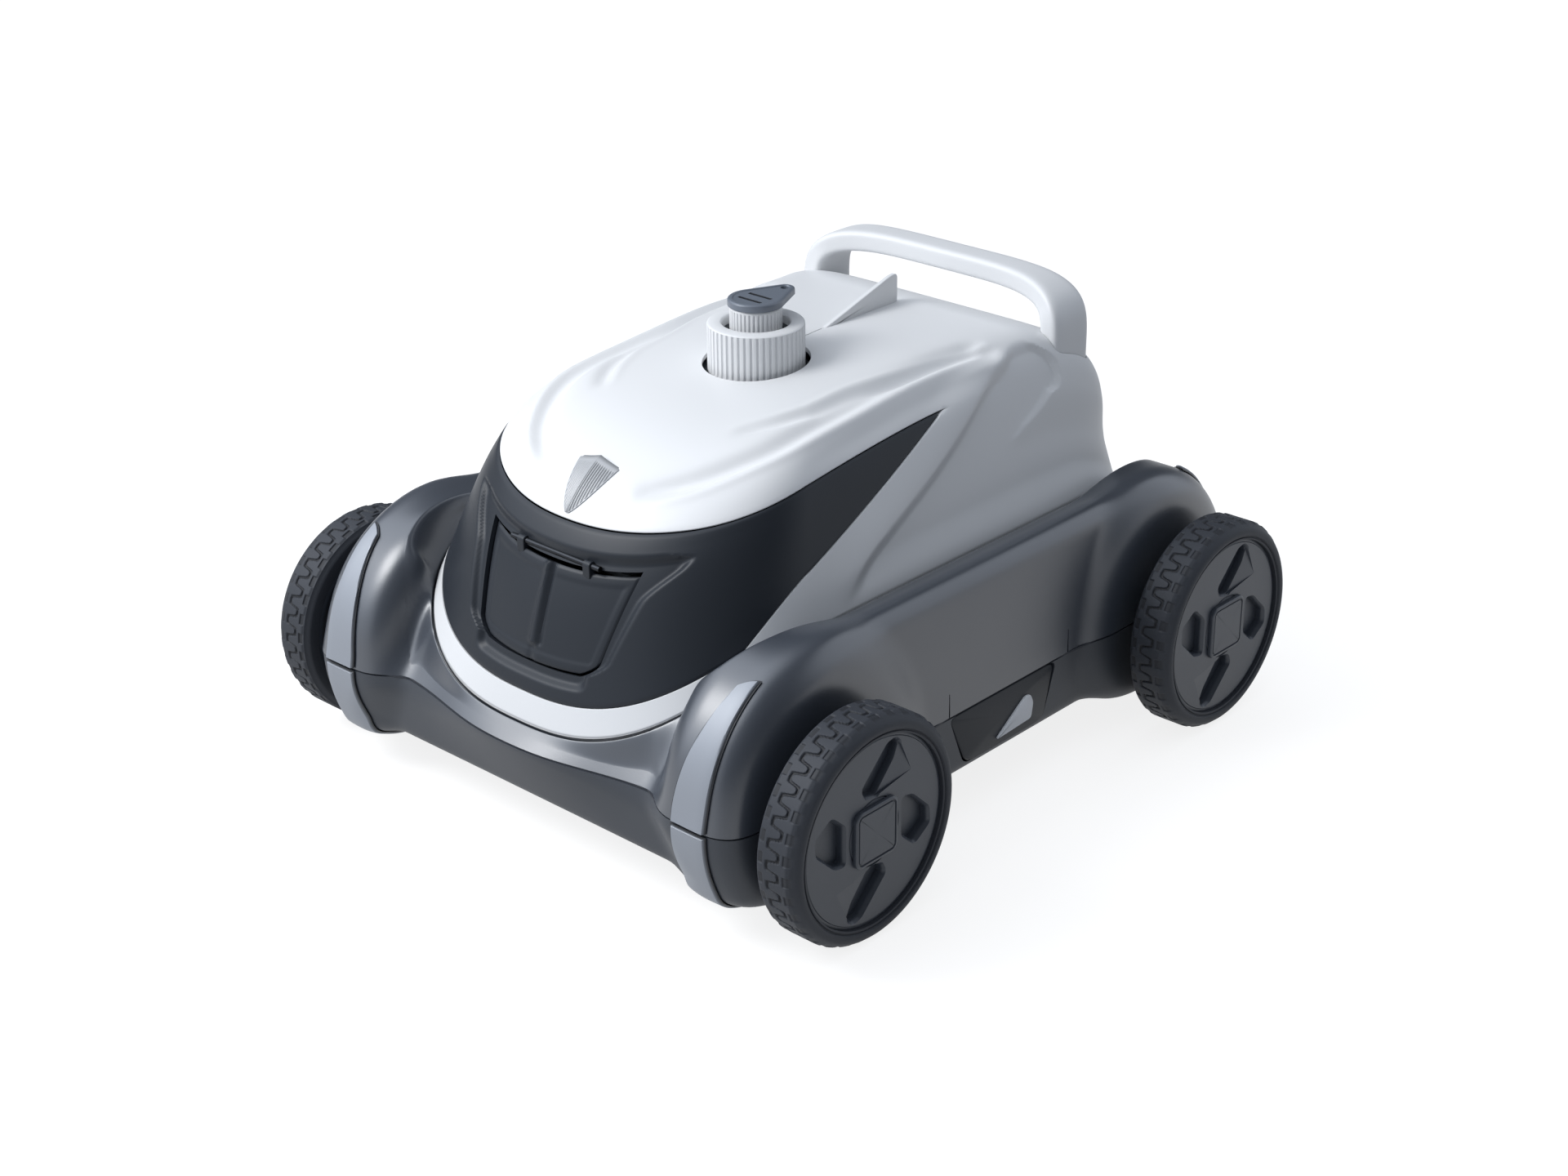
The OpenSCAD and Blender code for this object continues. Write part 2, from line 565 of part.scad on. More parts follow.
// Points of the hoop at angle a, from 0 at the right foot to 180 at the left one.
function hoop_point(a) =
  [handle_half_w * spow(cos(a), 0.4), arch_z + (handle_top_z - bar_t / 2 - arch_z) * spow(sin(a), 0.4)];
function hoop_ring(a) =
  let (c = hoop_point(a), d = hoop_point(min(a + 0.5, 180)) - hoop_point(max(a - 0.5, 0)), t = d / norm(d),
       k = pow(abs(cos(a)), 1.5), wy = bar_w + (foot_w - bar_w) * k, y = bar_y + (foot_y - bar_y) * k,
       th = bar_t + (post_t - bar_t) * k)
  [for (p = handle_section(th, wy)) [c[0] + p[0] * t[1], y + p[1], c[1] - p[0] * t[0]]];
module carry_handle() {
  angles = [0, 1, 4, 9, 16, 25, 35, 45, 55, 65, 74, 82, 90];
  half = [for (a = angles) hoop_ring(a)];
  foot_row = [for (p = handle_section(post_t, foot_w)) [handle_half_w + p[0], foot_y + p[1], handle_foot_z]];
  rest = [for (i = [len(angles) - 2:-1:0]) hoop_ring(180 - angles[i])];
  end_row = [for (p = rest[len(rest) - 1]) [p[0], p[1], handle_foot_z]];
  color(white) difference() {
    cup(concat([foot_row], half, rest, [end_row]));
    at_handle_screws() along_x(screw_r, -10, 3.2, 0, 0);
  }
}
module handle_sockets() {
  for (sx = [-1, 1]) translate([sx * handle_half_w, foot_y, handle_foot_z - 0.6])
    linear_extrude(60) polygon(handle_section(post_t, foot_w, 0.3));
}
// Screws into each foot, driven outwards through the lugs inside the cover.
lug_x = handle_half_w - post_t / 2 - 0.3;
module at_handle_screws() {
  for (sx = [0, 1]) mirror([sx, 0, 0]) for (dy = [-7, 7])
    translate([lug_x, foot_y + dy, handle_foot_z + 6]) children();
}
module handle_lugs() {
  for (sx = [0, 1]) mirror([sx, 0, 0]) stand(lug_x - 3.2, 3.2)
    polygon([[foot_y - 12.5, handle_foot_z + 1], [foot_y + 11.5, handle_foot_z + 1],
      [foot_y + 11.5, deck_z - 18.6], [foot_y - 12.5, deck_z - 7.4]]);
}
module handle_screws() {
  color(steel) at_handle_screws() {
    along_x(screw_r, -3.5, 3, 0, 0);
    along_x(screw_r + 1.6, -5.4, -3.3, 0, 0);
  }
}

// ---- deck controls
flange_z = deck_z - 9.3;
ring_z = [flange_z + 0.1, deck_z + 18];
cap_t = 4;
cap_tip = 28;
module ribs(r, h, n, deep) {
  for (i = [0:n - 1]) rotate([0, 0, i * 360 / n]) translate([r, 0, 0]) cylinder(r = deep, h = h, $fn = 16);
}
module locking_ring() {
  color(white) translate([0, -control_y, 0]) difference() {
    rotate_extrude() polygon([[ring_bore / 2, ring_z[0]], [ring_d / 2, ring_z[0]],
      [ring_d / 2, ring_z[1] - 5],
      [ring_d / 2 - 4.5, ring_z[1] - 1.2], [ring_bore / 2 + 2.4, ring_z[1]], [ring_bore / 2, ring_z[1] - 1]]);
    translate([0, 0, ring_z[0] + 6]) ribs(ring_d / 2 + 0.5, 13.5, 30, 1.3);
  }
}
module power_knob() {
  color(white) translate([0, -control_y, 0]) difference() {
    union() {
      translate([0, 0, mast_floor_z + seat_gap])
        cylinder(d = knob_d, h = cap_top_z - cap_t - mast_floor_z - seat_gap);
      translate([0, 0, mast_floor_z - 9]) cylinder(r = 4, h = 12);
    }
    translate([0, 0, mast_floor_z + 16]) ribs(knob_d / 2 + 0.4, 20, 30, 0.9);
  }
}
// Teardrop cap with an eye for a tether; the tip points to the rear.
module knob_cap() {
  tip_r = 5.5;
  body_r = 15;
  reach = cap_tip - tip_r;
  lean = asin((body_r - tip_r) / reach);
  color(graphite) translate([0, -control_y, cap_top_z - cap_t]) difference() {
    union() {
      cylinder(r = body_r, h = cap_t);
      translate([0, reach, 0]) cylinder(r = tip_r, h = cap_t);
      linear_extrude(cap_t) polygon([[body_r * cos(lean), body_r * sin(lean)],
        [tip_r * cos(lean), reach + tip_r * sin(lean)], [-tip_r * cos(lean), reach + tip_r * sin(lean)],
        [-body_r * cos(lean), body_r * sin(lean)]]);
    }
    translate([0, reach, -1]) cylinder(d = eye_d, h = cap_t + 2);
  }
}
mast_floor_z = cap_top_z - 30;
mast_foot_z = 200.2;
module control_mast() {
  color(graphite) translate([0, -control_y, 0]) difference() {
    union() {
      translate([0, 0, mast_foot_z]) cylinder(d = well_d + 4, h = flange_z - mast_foot_z);
      translate([0, 0, flange_z - 1]) cylinder(r = ring_bore / 2 - run_clear, h = 23);
    }
    translate([0, 0, mast_floor_z]) cylinder(d = knob_d + 2.4, h = 30);
    translate([0, 0, mast_foot_z + 8]) cylinder(r = 4 + run_clear, h = 30);
    translate([0, 0, mast_foot_z - 1]) cylinder(r = 13, h = 10);
  }
}

// ---- pale strips that wrap the hull corners round the wheel axes
strip_x = [hull_half_w - 34.3, hull_half_w - 11.2];
strip_t = 1.5;
function strip_point(x, a, lift) =
  let (o = [x, -axle_y, axle_z], d = [0, -cos(a), sin(a)]) cast(o, d, 104) + d * lift;
module strip(angles, upper) {
  n = len(angles) - 1;
  function inner_x(a) =
    strip_x[0] + (upper ? (strip_x[1] - strip_x[0] - 1) * pow(max(a - 22, 0) / 50, 1.6) : 0);
  function at(a, j, lift) = strip_point(inner_x(a) + (strip_x[1] - inner_x(a)) * j / 3, a, lift);
  slab([for (a = angles) [for (j = [0:3]) at(a, j, 0.6 + strip_t)]],
    [for (a = angles) [for (j = [0:3]) at(a, j, 0.6)]]);
}
module strips(angles, upper) {
  color([0.55, 0.58, 0.64]) for (sx = [0, 1], sy = [0, 1])
    mirror([sx, 0, 0]) mirror([0, sy, 0]) strip(angles, upper);
}
strip_seam = asin((seam_z - axle_z + 0.3) / 62);
module upper_corner_strips() { strips([for (i = [0:7]) strip_seam + 0.6 + (71 - strip_seam) * i / 7], true); }
module lower_corner_strips() { strips([for (i = [0:6]) -58 + (57 + strip_seam) * i / 6], false); }

// ---- wheels, drawn for the right side with the axle along X
wheel_in = track_half - tyre_w;
web_face = track_half - 2.6;
web_t = 3.6;
hub_bore_r = axle_d / 2 + run_clear;
hub_r = 12;
pocket_r = 9.5;
pocket_t = 5;
slot_pts = [[-8, 26], [-6, 21], [2, 19], [15, 33.5], [18.5, 41], [15, 44], [9.5, 43]];
window_pts = [[21.5, 9], [28, 7.5], [40.5, -4.5], [41, -12.5], [30.5, -19], [21.5, -11]];
module wheel_cuts() {
  for (turn = [0, 180]) rotate([0, 0, turn]) {
    polygon(slot_pts);
    polygon(window_pts);
  }
}
module hub() {
  color(slate) difference() {
    union() {
      rotate([90, 0, 90]) rotate_extrude() polygon([[rim_d / 2 - 3, wheel_in + 1], [rim_d / 2, wheel_in + 1],
        [rim_d / 2, web_face], [0, web_face], [0, web_face - web_t], [rim_d / 2 - 3, web_face - web_t]]);
      along_x(hub_r, wheel_in + 1.2, web_face - 1, 0, 0);
    }
    along_x(hub_bore_r, wheel_in - 5, track_half + 5, 0, 0);
    along_x(pocket_r, web_face - pocket_t, track_half + 5, 0, 0);
    stand(web_face - 12, 24) wheel_cuts();
  }
}
module tyre() {
  r0 = rim_d / 2;
  color([0.16, 0.17, 0.19]) rotate([90, 0, 90]) rotate_extrude($fn = 96)
    polygon([[r0, wheel_in], [wheel_r - 4, wheel_in], [wheel_r, wheel_in + 3.5], [wheel_r, track_half - 4.5],
      [wheel_r - 3.5, track_half - 0.6], [wheel_r - 5.5, track_half], [r0, track_half - 1.4]]);
}
module hub_cap() {
  half = cap_side / 2;
  cut = 3;
  color(slate) difference() {
    union() {
      stand(web_face, 2.4) polygon([[-half, cut - half], [cut - half, -half],
        [half - cut, -half], [half, cut - half],
        [half, half - cut], [half - cut, half], [cut - half, half], [-half, half - cut]]);
      along_x(pocket_r - 0.05, web_face - 1, web_face + 1, 0, 0);
    }
    along_x(pocket_r - 2, web_face - 3, web_face + 1, 0, 0);
  }
}
module place_wheel(right, front) {
  translate([0, front ? -axle_y : axle_y, axle_z]) rotate([0, 0, right ? 0 : 180]) children();
}
// The web inside the pocket bears on the washer; the shoulder of the axle bears on the hub.
axle_tip = web_face - pocket_t + 0.15;
washer_t = 1;
module stub_axles() {
  color(steel) at_wheels() difference() {
    union() {
      along_x(axle_d / 2, carrier_in + 4.2, axle_tip, 0, 0);
      along_x(axle_d / 2 + 3.5, hull_half_w + 6, wheel_in + 1, 0, 0);
    }
    along_x(screw_r, axle_tip - 12, axle_tip + 1, 0, 0);
  }
}
module axle_washers() {
  color(steel) at_wheels() difference() {
    along_x(pocket_r - 1.5, axle_tip + 0.05, axle_tip + 0.05 + washer_t, 0, 0);
    along_x(screw_r + 0.1, axle_tip - 1, axle_tip + 3, 0, 0);
  }
}
module axle_screws() {
  head = axle_tip + washer_t + 0.1;
  color(steel) at_wheels() {
    along_x(screw_r, axle_tip - 10, head + 0.5, 0, 0);
    along_x(screw_r + 2, head, head + 2.2, 0, 0);
  }
}

// ---- pump, drive and filter
casing_z = [100, 158];
duct_half = 44;
duct_z = [106, 154];
duct_end = 164;
casing_wall = 3;
inlet_r = 26;
leg_x = 36;
leg_y = 97;
module pump_casing() {
  color([0.3, 0.32, 0.34]) difference() {
    union() {
      translate([0, -control_y, casing_z[0]]) cylinder(d = pump_d, h = casing_z[1] - casing_z[0]);
      box([-duct_half, -duct_end, duct_z[0]], [duct_half, duct_end, duct_z[1]]);
      for (x = [-leg_x, leg_x], y = [-leg_y, leg_y]) translate([x, y, floor_z + seat_gap])
        cylinder(r = 5, h = duct_z[0] - floor_z);
    }
    translate([0, -control_y, casing_z[0] + casing_wall])
      cylinder(d = pump_d - 2 * casing_wall, h = casing_z[1] - casing_z[0] - 2 * casing_wall);
    box([casing_wall - duct_half, -duct_end - 1, duct_z[0] + casing_wall],
      [duct_half - casing_wall, duct_end + 1, duct_z[1] - casing_wall]);
    translate([0, -control_y, casing_z[0] - 1]) cylinder(r = inlet_r, h = 9);
    translate([0, -control_y, casing_z[1] - 8]) cylinder(r = 8 + run_clear, h = 12);
  }
}
module shaft_seal() {
  color([0.05, 0.05, 0.05]) translate([0, -control_y, casing_z[1] - casing_wall]) difference() {
    cylinder(r = 8, h = casing_wall);
    translate([0, 0, -1]) cylinder(r = shaft_d / 2 + run_clear, h = 6);
  }
}
module pump_motor() {
  color([0.12, 0.12, 0.13]) translate([0, -control_y, 0]) difference() {
    union() {
      translate([0, 0, casing_z[1] + seat_gap])
        cylinder(d = motor_d, h = mast_foot_z - casing_z[1] - 2 * seat_gap);
      translate([0, 0, casing_z[1] + seat_gap]) cylinder(d = motor_d + 8, h = 4);
    }
    translate([0, 0, casing_z[1] - 1]) cylinder(r = shaft_d / 2 + run_clear, h = 22);
  }
}
blades = 6;
module impeller() {
  z0 = casing_z[0] + casing_wall + 8;
  color([0.85, 0.45, 0.1]) translate([0, -control_y, 0]) union() {
    translate([0, 0, z0]) cylinder(r = 9, h = 22);
    translate([0, 0, z0 + 19]) cylinder(d = impeller_d, h = 2);
    for (i = [0:blades - 1]) rotate([0, 0, i * 360 / blades]) rotate([0, 0, 25])
      box([6, -1, z0], [impeller_d / 2 - 1.5, 1, z0 + 20]);
    translate([0, 0, z0]) cylinder(d = shaft_d, h = casing_z[1] + 18 - z0);
  }
}
basket_half = [76, 84];
basket_z = [floor_z + seat_gap, 94];
rib_w = 4;
module filter_basket() {
  x = basket_half[0];
  y = basket_half[1];
  color([0.5, 0.55, 0.6]) difference() {
    box([-x, -y, basket_z[0]], [x, y, basket_z[1]]);
    box([rib_w / 2 - x, rib_w / 2 - y, basket_z[0] + 2], [x - rib_w / 2, y - rib_w / 2, basket_z[1] + 1]);
    box([-seat_half[0] - 9, -seat_half[1] - 5, basket_z[0] - 1],
      [seat_half[0] + 9, seat_half[1] + 5, basket_z[0] + 5]);
    for (i = [-3:3]) box([i * 20 - 8, -y - 1, basket_z[0] + 8], [i * 20 + 8, y + 1, basket_z[1] - 8]);
    for (i = [-3:3]) box([-x - 1, i * 22 - 9, basket_z[0] + 8], [x + 1, i * 22 + 9, basket_z[1] - 8]);
  }
}
module filter_lid() {
  x = basket_half[0];
  y = basket_half[1];
  z = basket_z[1] + seat_gap;
  color([0.5, 0.55, 0.6]) difference() {
    union() {
      box([-x, -y, z], [x, y, z + 2]);
      translate([0, -control_y, z]) cylinder(r = inlet_r + 5, h = casing_z[0] - z - seat_gap);
    }
    translate([0, -control_y, z - 1]) cylinder(r = inlet_r, h = 20);
  }
}
pack_x = [hull_half_w - 69, hull_half_w - 19];
module battery_pack() {
  color([0.1, 0.2, 0.35]) difference() {
    box([pack_x[0], -58, floor_z + seat_gap], [pack_x[1], 58, seam_z - 6]);
  }
}
module control_box() {
  color([0.1, 0.35, 0.2]) box([-pack_x[1], -50, floor_z + seat_gap], [-pack_x[0], 50, seam_z - 14]);
}
plate_t = 3.8;
plate_half = seat_half + [11, 3];
plate_screw_x = seat_half[0] + 5.5;
plate_screw_y = 28;
module intake_plate() {
  color(graphite) difference() {
    box([-plate_half[0], -plate_half[1], belly_z - plate_t], [plate_half[0], plate_half[1], belly_z]);
    for (sx = [0, 1], sy = [0, 1]) mirror([sx, 0, 0]) mirror([0, sy, 0])
      box([3, slot_near + 1, belly_z - plate_t - 1], [slot_half - 2, slot_far - 1, belly_z + 1]);
    for (sx = [-1, 1], sy = [-1, 1])
      translate([sx * plate_screw_x, sy * plate_screw_y, belly_z - plate_t - 1])
        cylinder(r = screw_r + 0.1, h = plate_t + 2);
  }
}
module intake_valve(front) {
  mirror([0, front ? 0 : 1, 0]) color([0.1, 0.1, 0.11]) union() {
    box([-valve_half, -valve_pin_y, floor_z + 0.1], [valve_half, -0.6, floor_z + 0.1 + valve_t]);
    along_x(valve_pin_r, -valve_half - 4.4, valve_half + 4.4, -valve_pin_y, valve_pin_z);
  }
}
module intake_valve_front() { intake_valve(true); }
module intake_valve_rear() { intake_valve(false); }

// ---- side latches
module latch() {
  color(graphite) union() {
    stand(latch_face - latch_t, latch_t) latch_outline(0);
    for (y = [latch_low[0] + 2, latch_low[1] - 6])
      box([latch_pivot[0] - 2, y, latch_pivot[1] - 2],
        [latch_face - latch_t + 0.5, y + 4, latch_pivot[1] + 2]);
    translate([latch_pivot[0], latch_low[0] - 8.4, latch_pivot[1]]) rotate([-90, 0, 0])
      cylinder(r = latch_pin_r, h = latch_low[1] - latch_low[0] + 14.8);
  }
}
// Pale sail-shaped finger tab on the latch.
module latch_tab() {
  color([0.8, 0.82, 0.86]) stand(latch_face, 1.2)
    polygon([[-13, 37], [27, 38], [27, 50], [24, 52], [20, 51.5], [15, 49]]);
}
module side_latch_right() { latch(); }
module side_latch_left() { mirror([1, 0, 0]) latch(); }
module latch_tab_right() { latch_tab(); }
module latch_tab_left() { mirror([1, 0, 0]) latch_tab(); }

// Screws of the seam and of the intake plate, driven from below.
module hull_screws() {
  color(steel) {
    at_towers() {
      translate([0, 0, belly_z + 6.1]) cylinder(r = screw_r, h = seam_z + 14 - belly_z - 6);
      translate([0, 0, belly_z + 3.5]) cylinder(r = screw_r + 1.6, h = 2.5);
    }
    for (sx = [-1, 1], sy = [-1, 1]) translate([sx * plate_screw_x, sy * plate_screw_y, 0]) {
      translate([0, 0, belly_z - plate_t - 1]) cylinder(r = screw_r, h = plate_t + 5.8);
      translate([0, 0, belly_z - plate_t - 2]) cylinder(r = screw_r + 1.6, h = 1.95);
    }
  }
}

module tyre_front_right() { place_wheel(true, true) tyre(); }
module tyre_front_left() { place_wheel(false, true) tyre(); }
module tyre_rear_right() { place_wheel(true, false) tyre(); }
module tyre_rear_left() { place_wheel(false, false) tyre(); }
module hub_front_right() { place_wheel(true, true) hub(); }
module hub_front_left() { place_wheel(false, true) hub(); }
module hub_rear_right() { place_wheel(true, false) hub(); }
module hub_rear_left() { place_wheel(false, false) hub(); }
module cap_front_right() { place_wheel(true, true) hub_cap(); }
module cap_front_left() { place_wheel(false, true) hub_cap(); }
module cap_rear_right() { place_wheel(true, false) hub_cap(); }
module cap_rear_left() { place_wheel(false, false) hub_cap(); }

lower_hull();
upper_hull();
hull_gasket();
side_shell();
roof_shell();
visor();
tail_panel();
front_flap();
tail_flap();
flap_pins();
indicator_lens();
carry_handle();
handle_screws();
locking_ring();
power_knob();
knob_cap();
upper_corner_strips();
lower_corner_strips();
tyre_front_right();
tyre_front_left();
tyre_rear_right();
tyre_rear_left();
hub_front_right();
hub_front_left();
hub_rear_right();
hub_rear_left();
cap_front_right();
cap_front_left();
cap_rear_right();
cap_rear_left();
stub_axles();
axle_washers();
axle_screws();
pump_casing();
pump_motor();
impeller();
shaft_seal();
control_mast();
battery_pack();
control_box();
filter_basket();
filter_lid();
intake_plate();
intake_seat();
intake_valve_front();
intake_valve_rear();
side_latch_right();
side_latch_left();
latch_tab_right();
latch_tab_left();
hull_screws();
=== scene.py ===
"""Cordless pool cleaner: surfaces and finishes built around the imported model."""
import math

import bpy
import numpy as np
from mathutils import Matrix, Vector


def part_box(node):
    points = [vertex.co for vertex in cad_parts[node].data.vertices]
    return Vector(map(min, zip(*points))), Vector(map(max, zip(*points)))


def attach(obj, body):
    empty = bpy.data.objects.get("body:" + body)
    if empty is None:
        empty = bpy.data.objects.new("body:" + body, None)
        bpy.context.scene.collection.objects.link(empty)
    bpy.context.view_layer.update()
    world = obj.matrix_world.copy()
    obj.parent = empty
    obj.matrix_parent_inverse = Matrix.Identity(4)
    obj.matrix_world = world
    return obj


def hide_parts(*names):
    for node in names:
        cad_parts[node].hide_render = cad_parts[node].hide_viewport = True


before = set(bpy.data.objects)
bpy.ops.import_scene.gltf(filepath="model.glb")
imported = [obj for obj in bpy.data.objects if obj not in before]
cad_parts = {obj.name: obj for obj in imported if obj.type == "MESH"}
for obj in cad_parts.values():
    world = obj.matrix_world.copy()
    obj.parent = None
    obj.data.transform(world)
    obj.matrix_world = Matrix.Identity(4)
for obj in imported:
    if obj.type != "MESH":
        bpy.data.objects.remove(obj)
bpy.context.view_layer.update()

bl_info = {
    "name": "Pool Cleaner Surfaces",
    "version": (1, 0, 0),
    "blender": (4, 5, 0),
    "location": "View3D > Sidebar > Cleaner",
    "description": "Builds the shells, wheels and finishes of a cordless pool cleaner",
    "category": "Add Mesh",
}

PERIOD = 6.0


# ---------------------------------------------------------------- plain helpers
def ease(t):
    """Smooth step: 0 below 0, 1 above 1, and t*t*(3 - 2t) between."""
    t = np.clip(t, 0, 1)
    return t * t * (3 - 2 * t)


def bell(t):
    """Bell curve exp(-t*t)."""
    return np.exp(-t * t)


def smax(a, b, k):
    """Larger of a and b, rounded where they differ by less than k."""
    h = np.clip(0.5 + 0.5 * (a - b) / k, 0, 1)
    return b + (a - b) * h + k * h * (1 - h)


def smin(a, b, k):
    """Smaller of a and b, rounded where they differ by less than k."""
    return -smax(-a, -b, k)


def spow(a, p):
    """Power that keeps the sign of its base."""
    return np.sign(a) * np.abs(a) ** p


def node_box(name):
    """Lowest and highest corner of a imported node, in millimetres."""
    lo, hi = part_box(name)
    return np.array(lo) * 1000, np.array(hi) * 1000


# ---------------------------------------------------------------- cover surface, in millimetres
COVER_HALF_W, FLANK_HALF, NOSE_L = 115.0, 110.0, 94.0
FOOT_Z, FOOT_DROP, DECK_Z = 127.0, 52.0, 222.0
FRONT_POWER, REAR_POWER, TOP_POWER = 2.6, 3.4, 2.2
SEAM_Z, SEAM_GAP, AXLE_Z = 66.0, 0.5, 60.0
AXLE_Y = float(node_box("tyre_rear_right")[0][1] + node_box("tyre_rear_right")[1][1]) / 2
PANEL_LOW, PANEL_FIT = 0.115, 0.0025


def plan(u, w=COVER_HALF_W, yc=FLANK_HALF, length=NOSE_L, n=FRONT_POWER):
    """Closed outline: straight flanks, and superelliptic ends x = w sin^(2/n), y = yc + l cos^(2/n).
    u runs 0..6: 0 front centre, 1 to 2 right flank, 3 rear centre, 4 to 5 left flank."""
    v = np.mod(u, PERIOD)
    m = np.where(v > 3, 6 - v, v)
    k = np.where(m < 1.5, m, 3 - m)
    a = np.minimum(k, 1) * np.pi / 2
    x = w * np.sin(a) ** (2 / n)
    y = np.where(k <= 1, yc + length * np.abs(np.cos(a)) ** (2 / n), yc * (1.5 - k) / 0.5)
    return np.where(v > 3, -x, x), np.where(m < 1.5, -y, y)


def from_nose(u):
    """Column distance from the nose, the same on both sides."""
    v = np.mod(u, PERIOD)
    return np.where(v > 3, 6 - v, v)


def cover_plan(u, grow=0.0, n=FRONT_POWER):
    """Plan of the cover foot, squarer at the rear."""
    power = np.where(from_nose(u) > 1.5, REAR_POWER, n)
    return plan(u, COVER_HALF_W + grow, FLANK_HALF, NOSE_L + grow, power)


def foot_height(y):
    """Height of the cover foot: it dips by 52 t^2.1 along both ends."""
    return FOOT_Z - FOOT_DROP * (np.maximum(np.abs(y) - FLANK_HALF, 0) / NOSE_L) ** 2.1


def deck_height(y):
    """Height of the deck: it falls to the nose as t^1.3 and rolls over at the rear as t^1.6."""
    to_nose, to_rear = np.maximum(30 - y, 0) / 185, np.maximum(y - 95, 0) / 41
    return DECK_Z - 16 * to_nose ** 1.3 - 12 * to_rear ** 1.6


def end_share(y):
    """0 along the flanks and 1 at the tips of both ends, as a smooth step."""
    return ease((np.abs(y) - 80) / (FLANK_HALF + NOSE_L - 80))


def rear_share(y):
    """0 at the nose and 1 at the rear, as a smooth step."""
    return ease((y + 60) / 210)


def shoulder(u):
    """Exponent of the superellipse from flank to deck."""
    y = cover_plan(u)[1]
    m = 9 - 4 * end_share(y)
    return m + (11 - m) * rear_share(y)


def swell(u, h):
    """Swelling of the rear shoulders under the handle."""
    v = from_nose(u)
    return 0.05 * ease((v - 2) / 0.35) * ease((2.7 - v) / 0.3) * ease((h - 0.5) / 0.4)


def cover_at(u, h, s):
    """Point at column u, height share h and width share s: the plan shrinks by 1 - 0.2 h about a centre
    that moves to the rear, and the height runs from the foot to the deck."""
    bx, by = cover_plan(u)
    tx, ty = cover_plan(u, n=TOP_POWER)
    k = np.clip(h / 0.7, 0, 1)
    px, py = bx + (tx - bx) * k, by + (ty - by) * k
    q = s * (1 - (0.20 - 0.028 * end_share(by)) * h)
    cy = 12 + 48 * rear_share(by)
    y = cy + (py - cy) * q
    foot = foot_height(by)
    return np.stack([px * q * (1 + swell(u, h)), y, foot + (deck_height(y) - foot) * h], -1)


def cover_point(u, h):
    """Cover by height share: s = (1 - h^m)^(1/m)."""
    m = shoulder(u)
    return cover_at(u, h, np.maximum(1 - h ** m, 0) ** (1 / m))


def deck_point(u, h1, f):
    """Cover by width share: f is 1 at height share h1 and 0 in the middle of the deck."""
    m = shoulder(u)
    s = f * (1 - h1 ** m) ** (1 / m)
    return cover_at(u, (1 - s ** m) ** (1 / m), s)


def cover_normal(u, h, e=0.003):
    """Outward normal from differences of the surface."""
    du = cover_point(u + e, h) - cover_point(u - e, h)
    dh = cover_point(u, np.minimum(h + e, 0.9995)) - cover_point(u, np.maximum(h - e, 0))
    n = np.cross(du, dh)
    return n / np.linalg.norm(n, axis=-1, keepdims=True)


def panel_top(u):
    """Upper edge of the dark end panels, a little higher along the flanks."""
    return 0.755 + 0.047 * ease((from_nose(u) - 0.5) / 1.07)


def panel_foot(u):
    """Lower edge of the dark end panels; a straight line sweeps up along the flank to the panel top."""
    v = from_nose(u)
    front = np.maximum(PANEL_LOW, PANEL_LOW + 0.858 * (v - 0.76))
    rear = np.maximum(PANEL_LOW, PANEL_LOW + 2.2 * (2.7 - v))
    return np.minimum(panel_top(u), np.where(v < 1.6, front, rear))


def even_columns(lo, hi, count, height=0.35):
    """Columns whose points lie at even distances along the cover at one height share."""
    u = np.linspace(lo, hi, 6001)
    p = cover_point(u, height)
    s = np.concatenate([[0], np.cumsum(np.linalg.norm(np.diff(p, axis=0), axis=1))])
    return np.interp(np.linspace(0, s[-1], count), s, u)


def column_at(x, h, rear=False):
    """Column at which an end of the cover reaches half width x at height share h: arcsin((x/w)^(n/2))."""
    n = REAR_POWER if rear else 2.4
    w = cover_point(np.array(1.0), h)[..., 0]
    c = np.sign(x) * np.arcsin(np.minimum(np.abs(x) / w, 1) ** (n / 2)) / (np.pi / 2)
    return 3 - c if rear else c


# ---------------------------------------------------------------- hull surface, in millimetres
HULL_HALF_W, HULL_END, HULL_WALL = 153.0, 203.0, 3.2
BELLY_Z, FENDER_LOW, FENDER_X = 27.0, 15.0, 128.0
FOOT_GAP, RAY_STEP = 0.35, 7.0


def hull_field(x, y, z):
    """Negative inside the hull: a rounded tub joined to four fenders over the wheels. The tub is the
    rounded larger of side, end, top skin and belly; a fender is an elliptic arch of limited width."""
    ax, ay = np.abs(x), np.abs(y)
    up, lo = np.maximum(z - SEAM_Z, 0), np.maximum(SEAM_Z - z, 0)
    bump = np.exp(-((ax / 62) ** 2.4))
    side = ax - (HULL_HALF_W - 7 * (up / 76) ** 2 - 0.06 * lo)
    wall = ay - (HULL_END + 12 * bump - (0.72 + 0.5 * bump ** 3) * up - (0.09 + 0.33 * bump) * lo)
    front = np.where(z > SEAM_Z, wall / 1.28, wall)
    skin = (128 - 55 * (np.maximum(ay - 108, 0) / 95) ** 2.2 + 20 * bump
            + 13 * (1 - bump) * np.clip((ax - 113) / 30, -0.6, 1.15))
    tub = smax(smax(smax(side, front, 22), (z - skin) / 1.15, 14), BELLY_Z - z, 8)
    rise = np.where(z > AXLE_Z + 2, 78.0, 60.0)
    tuck = 7 * np.clip((AXLE_Z - z) / 25, 0, 1)
    arch = (np.sqrt(((ay - AXLE_Y + 4.35) / 68) ** 2 + ((z - AXLE_Z - 2) / rise) ** 2) - 1) * 68
    fender = smax(smax(arch, np.abs(ax - FENDER_X - tuck) - 27 + tuck, 20), FENDER_LOW - z, 8)
    return smin(tub, fender, 16)


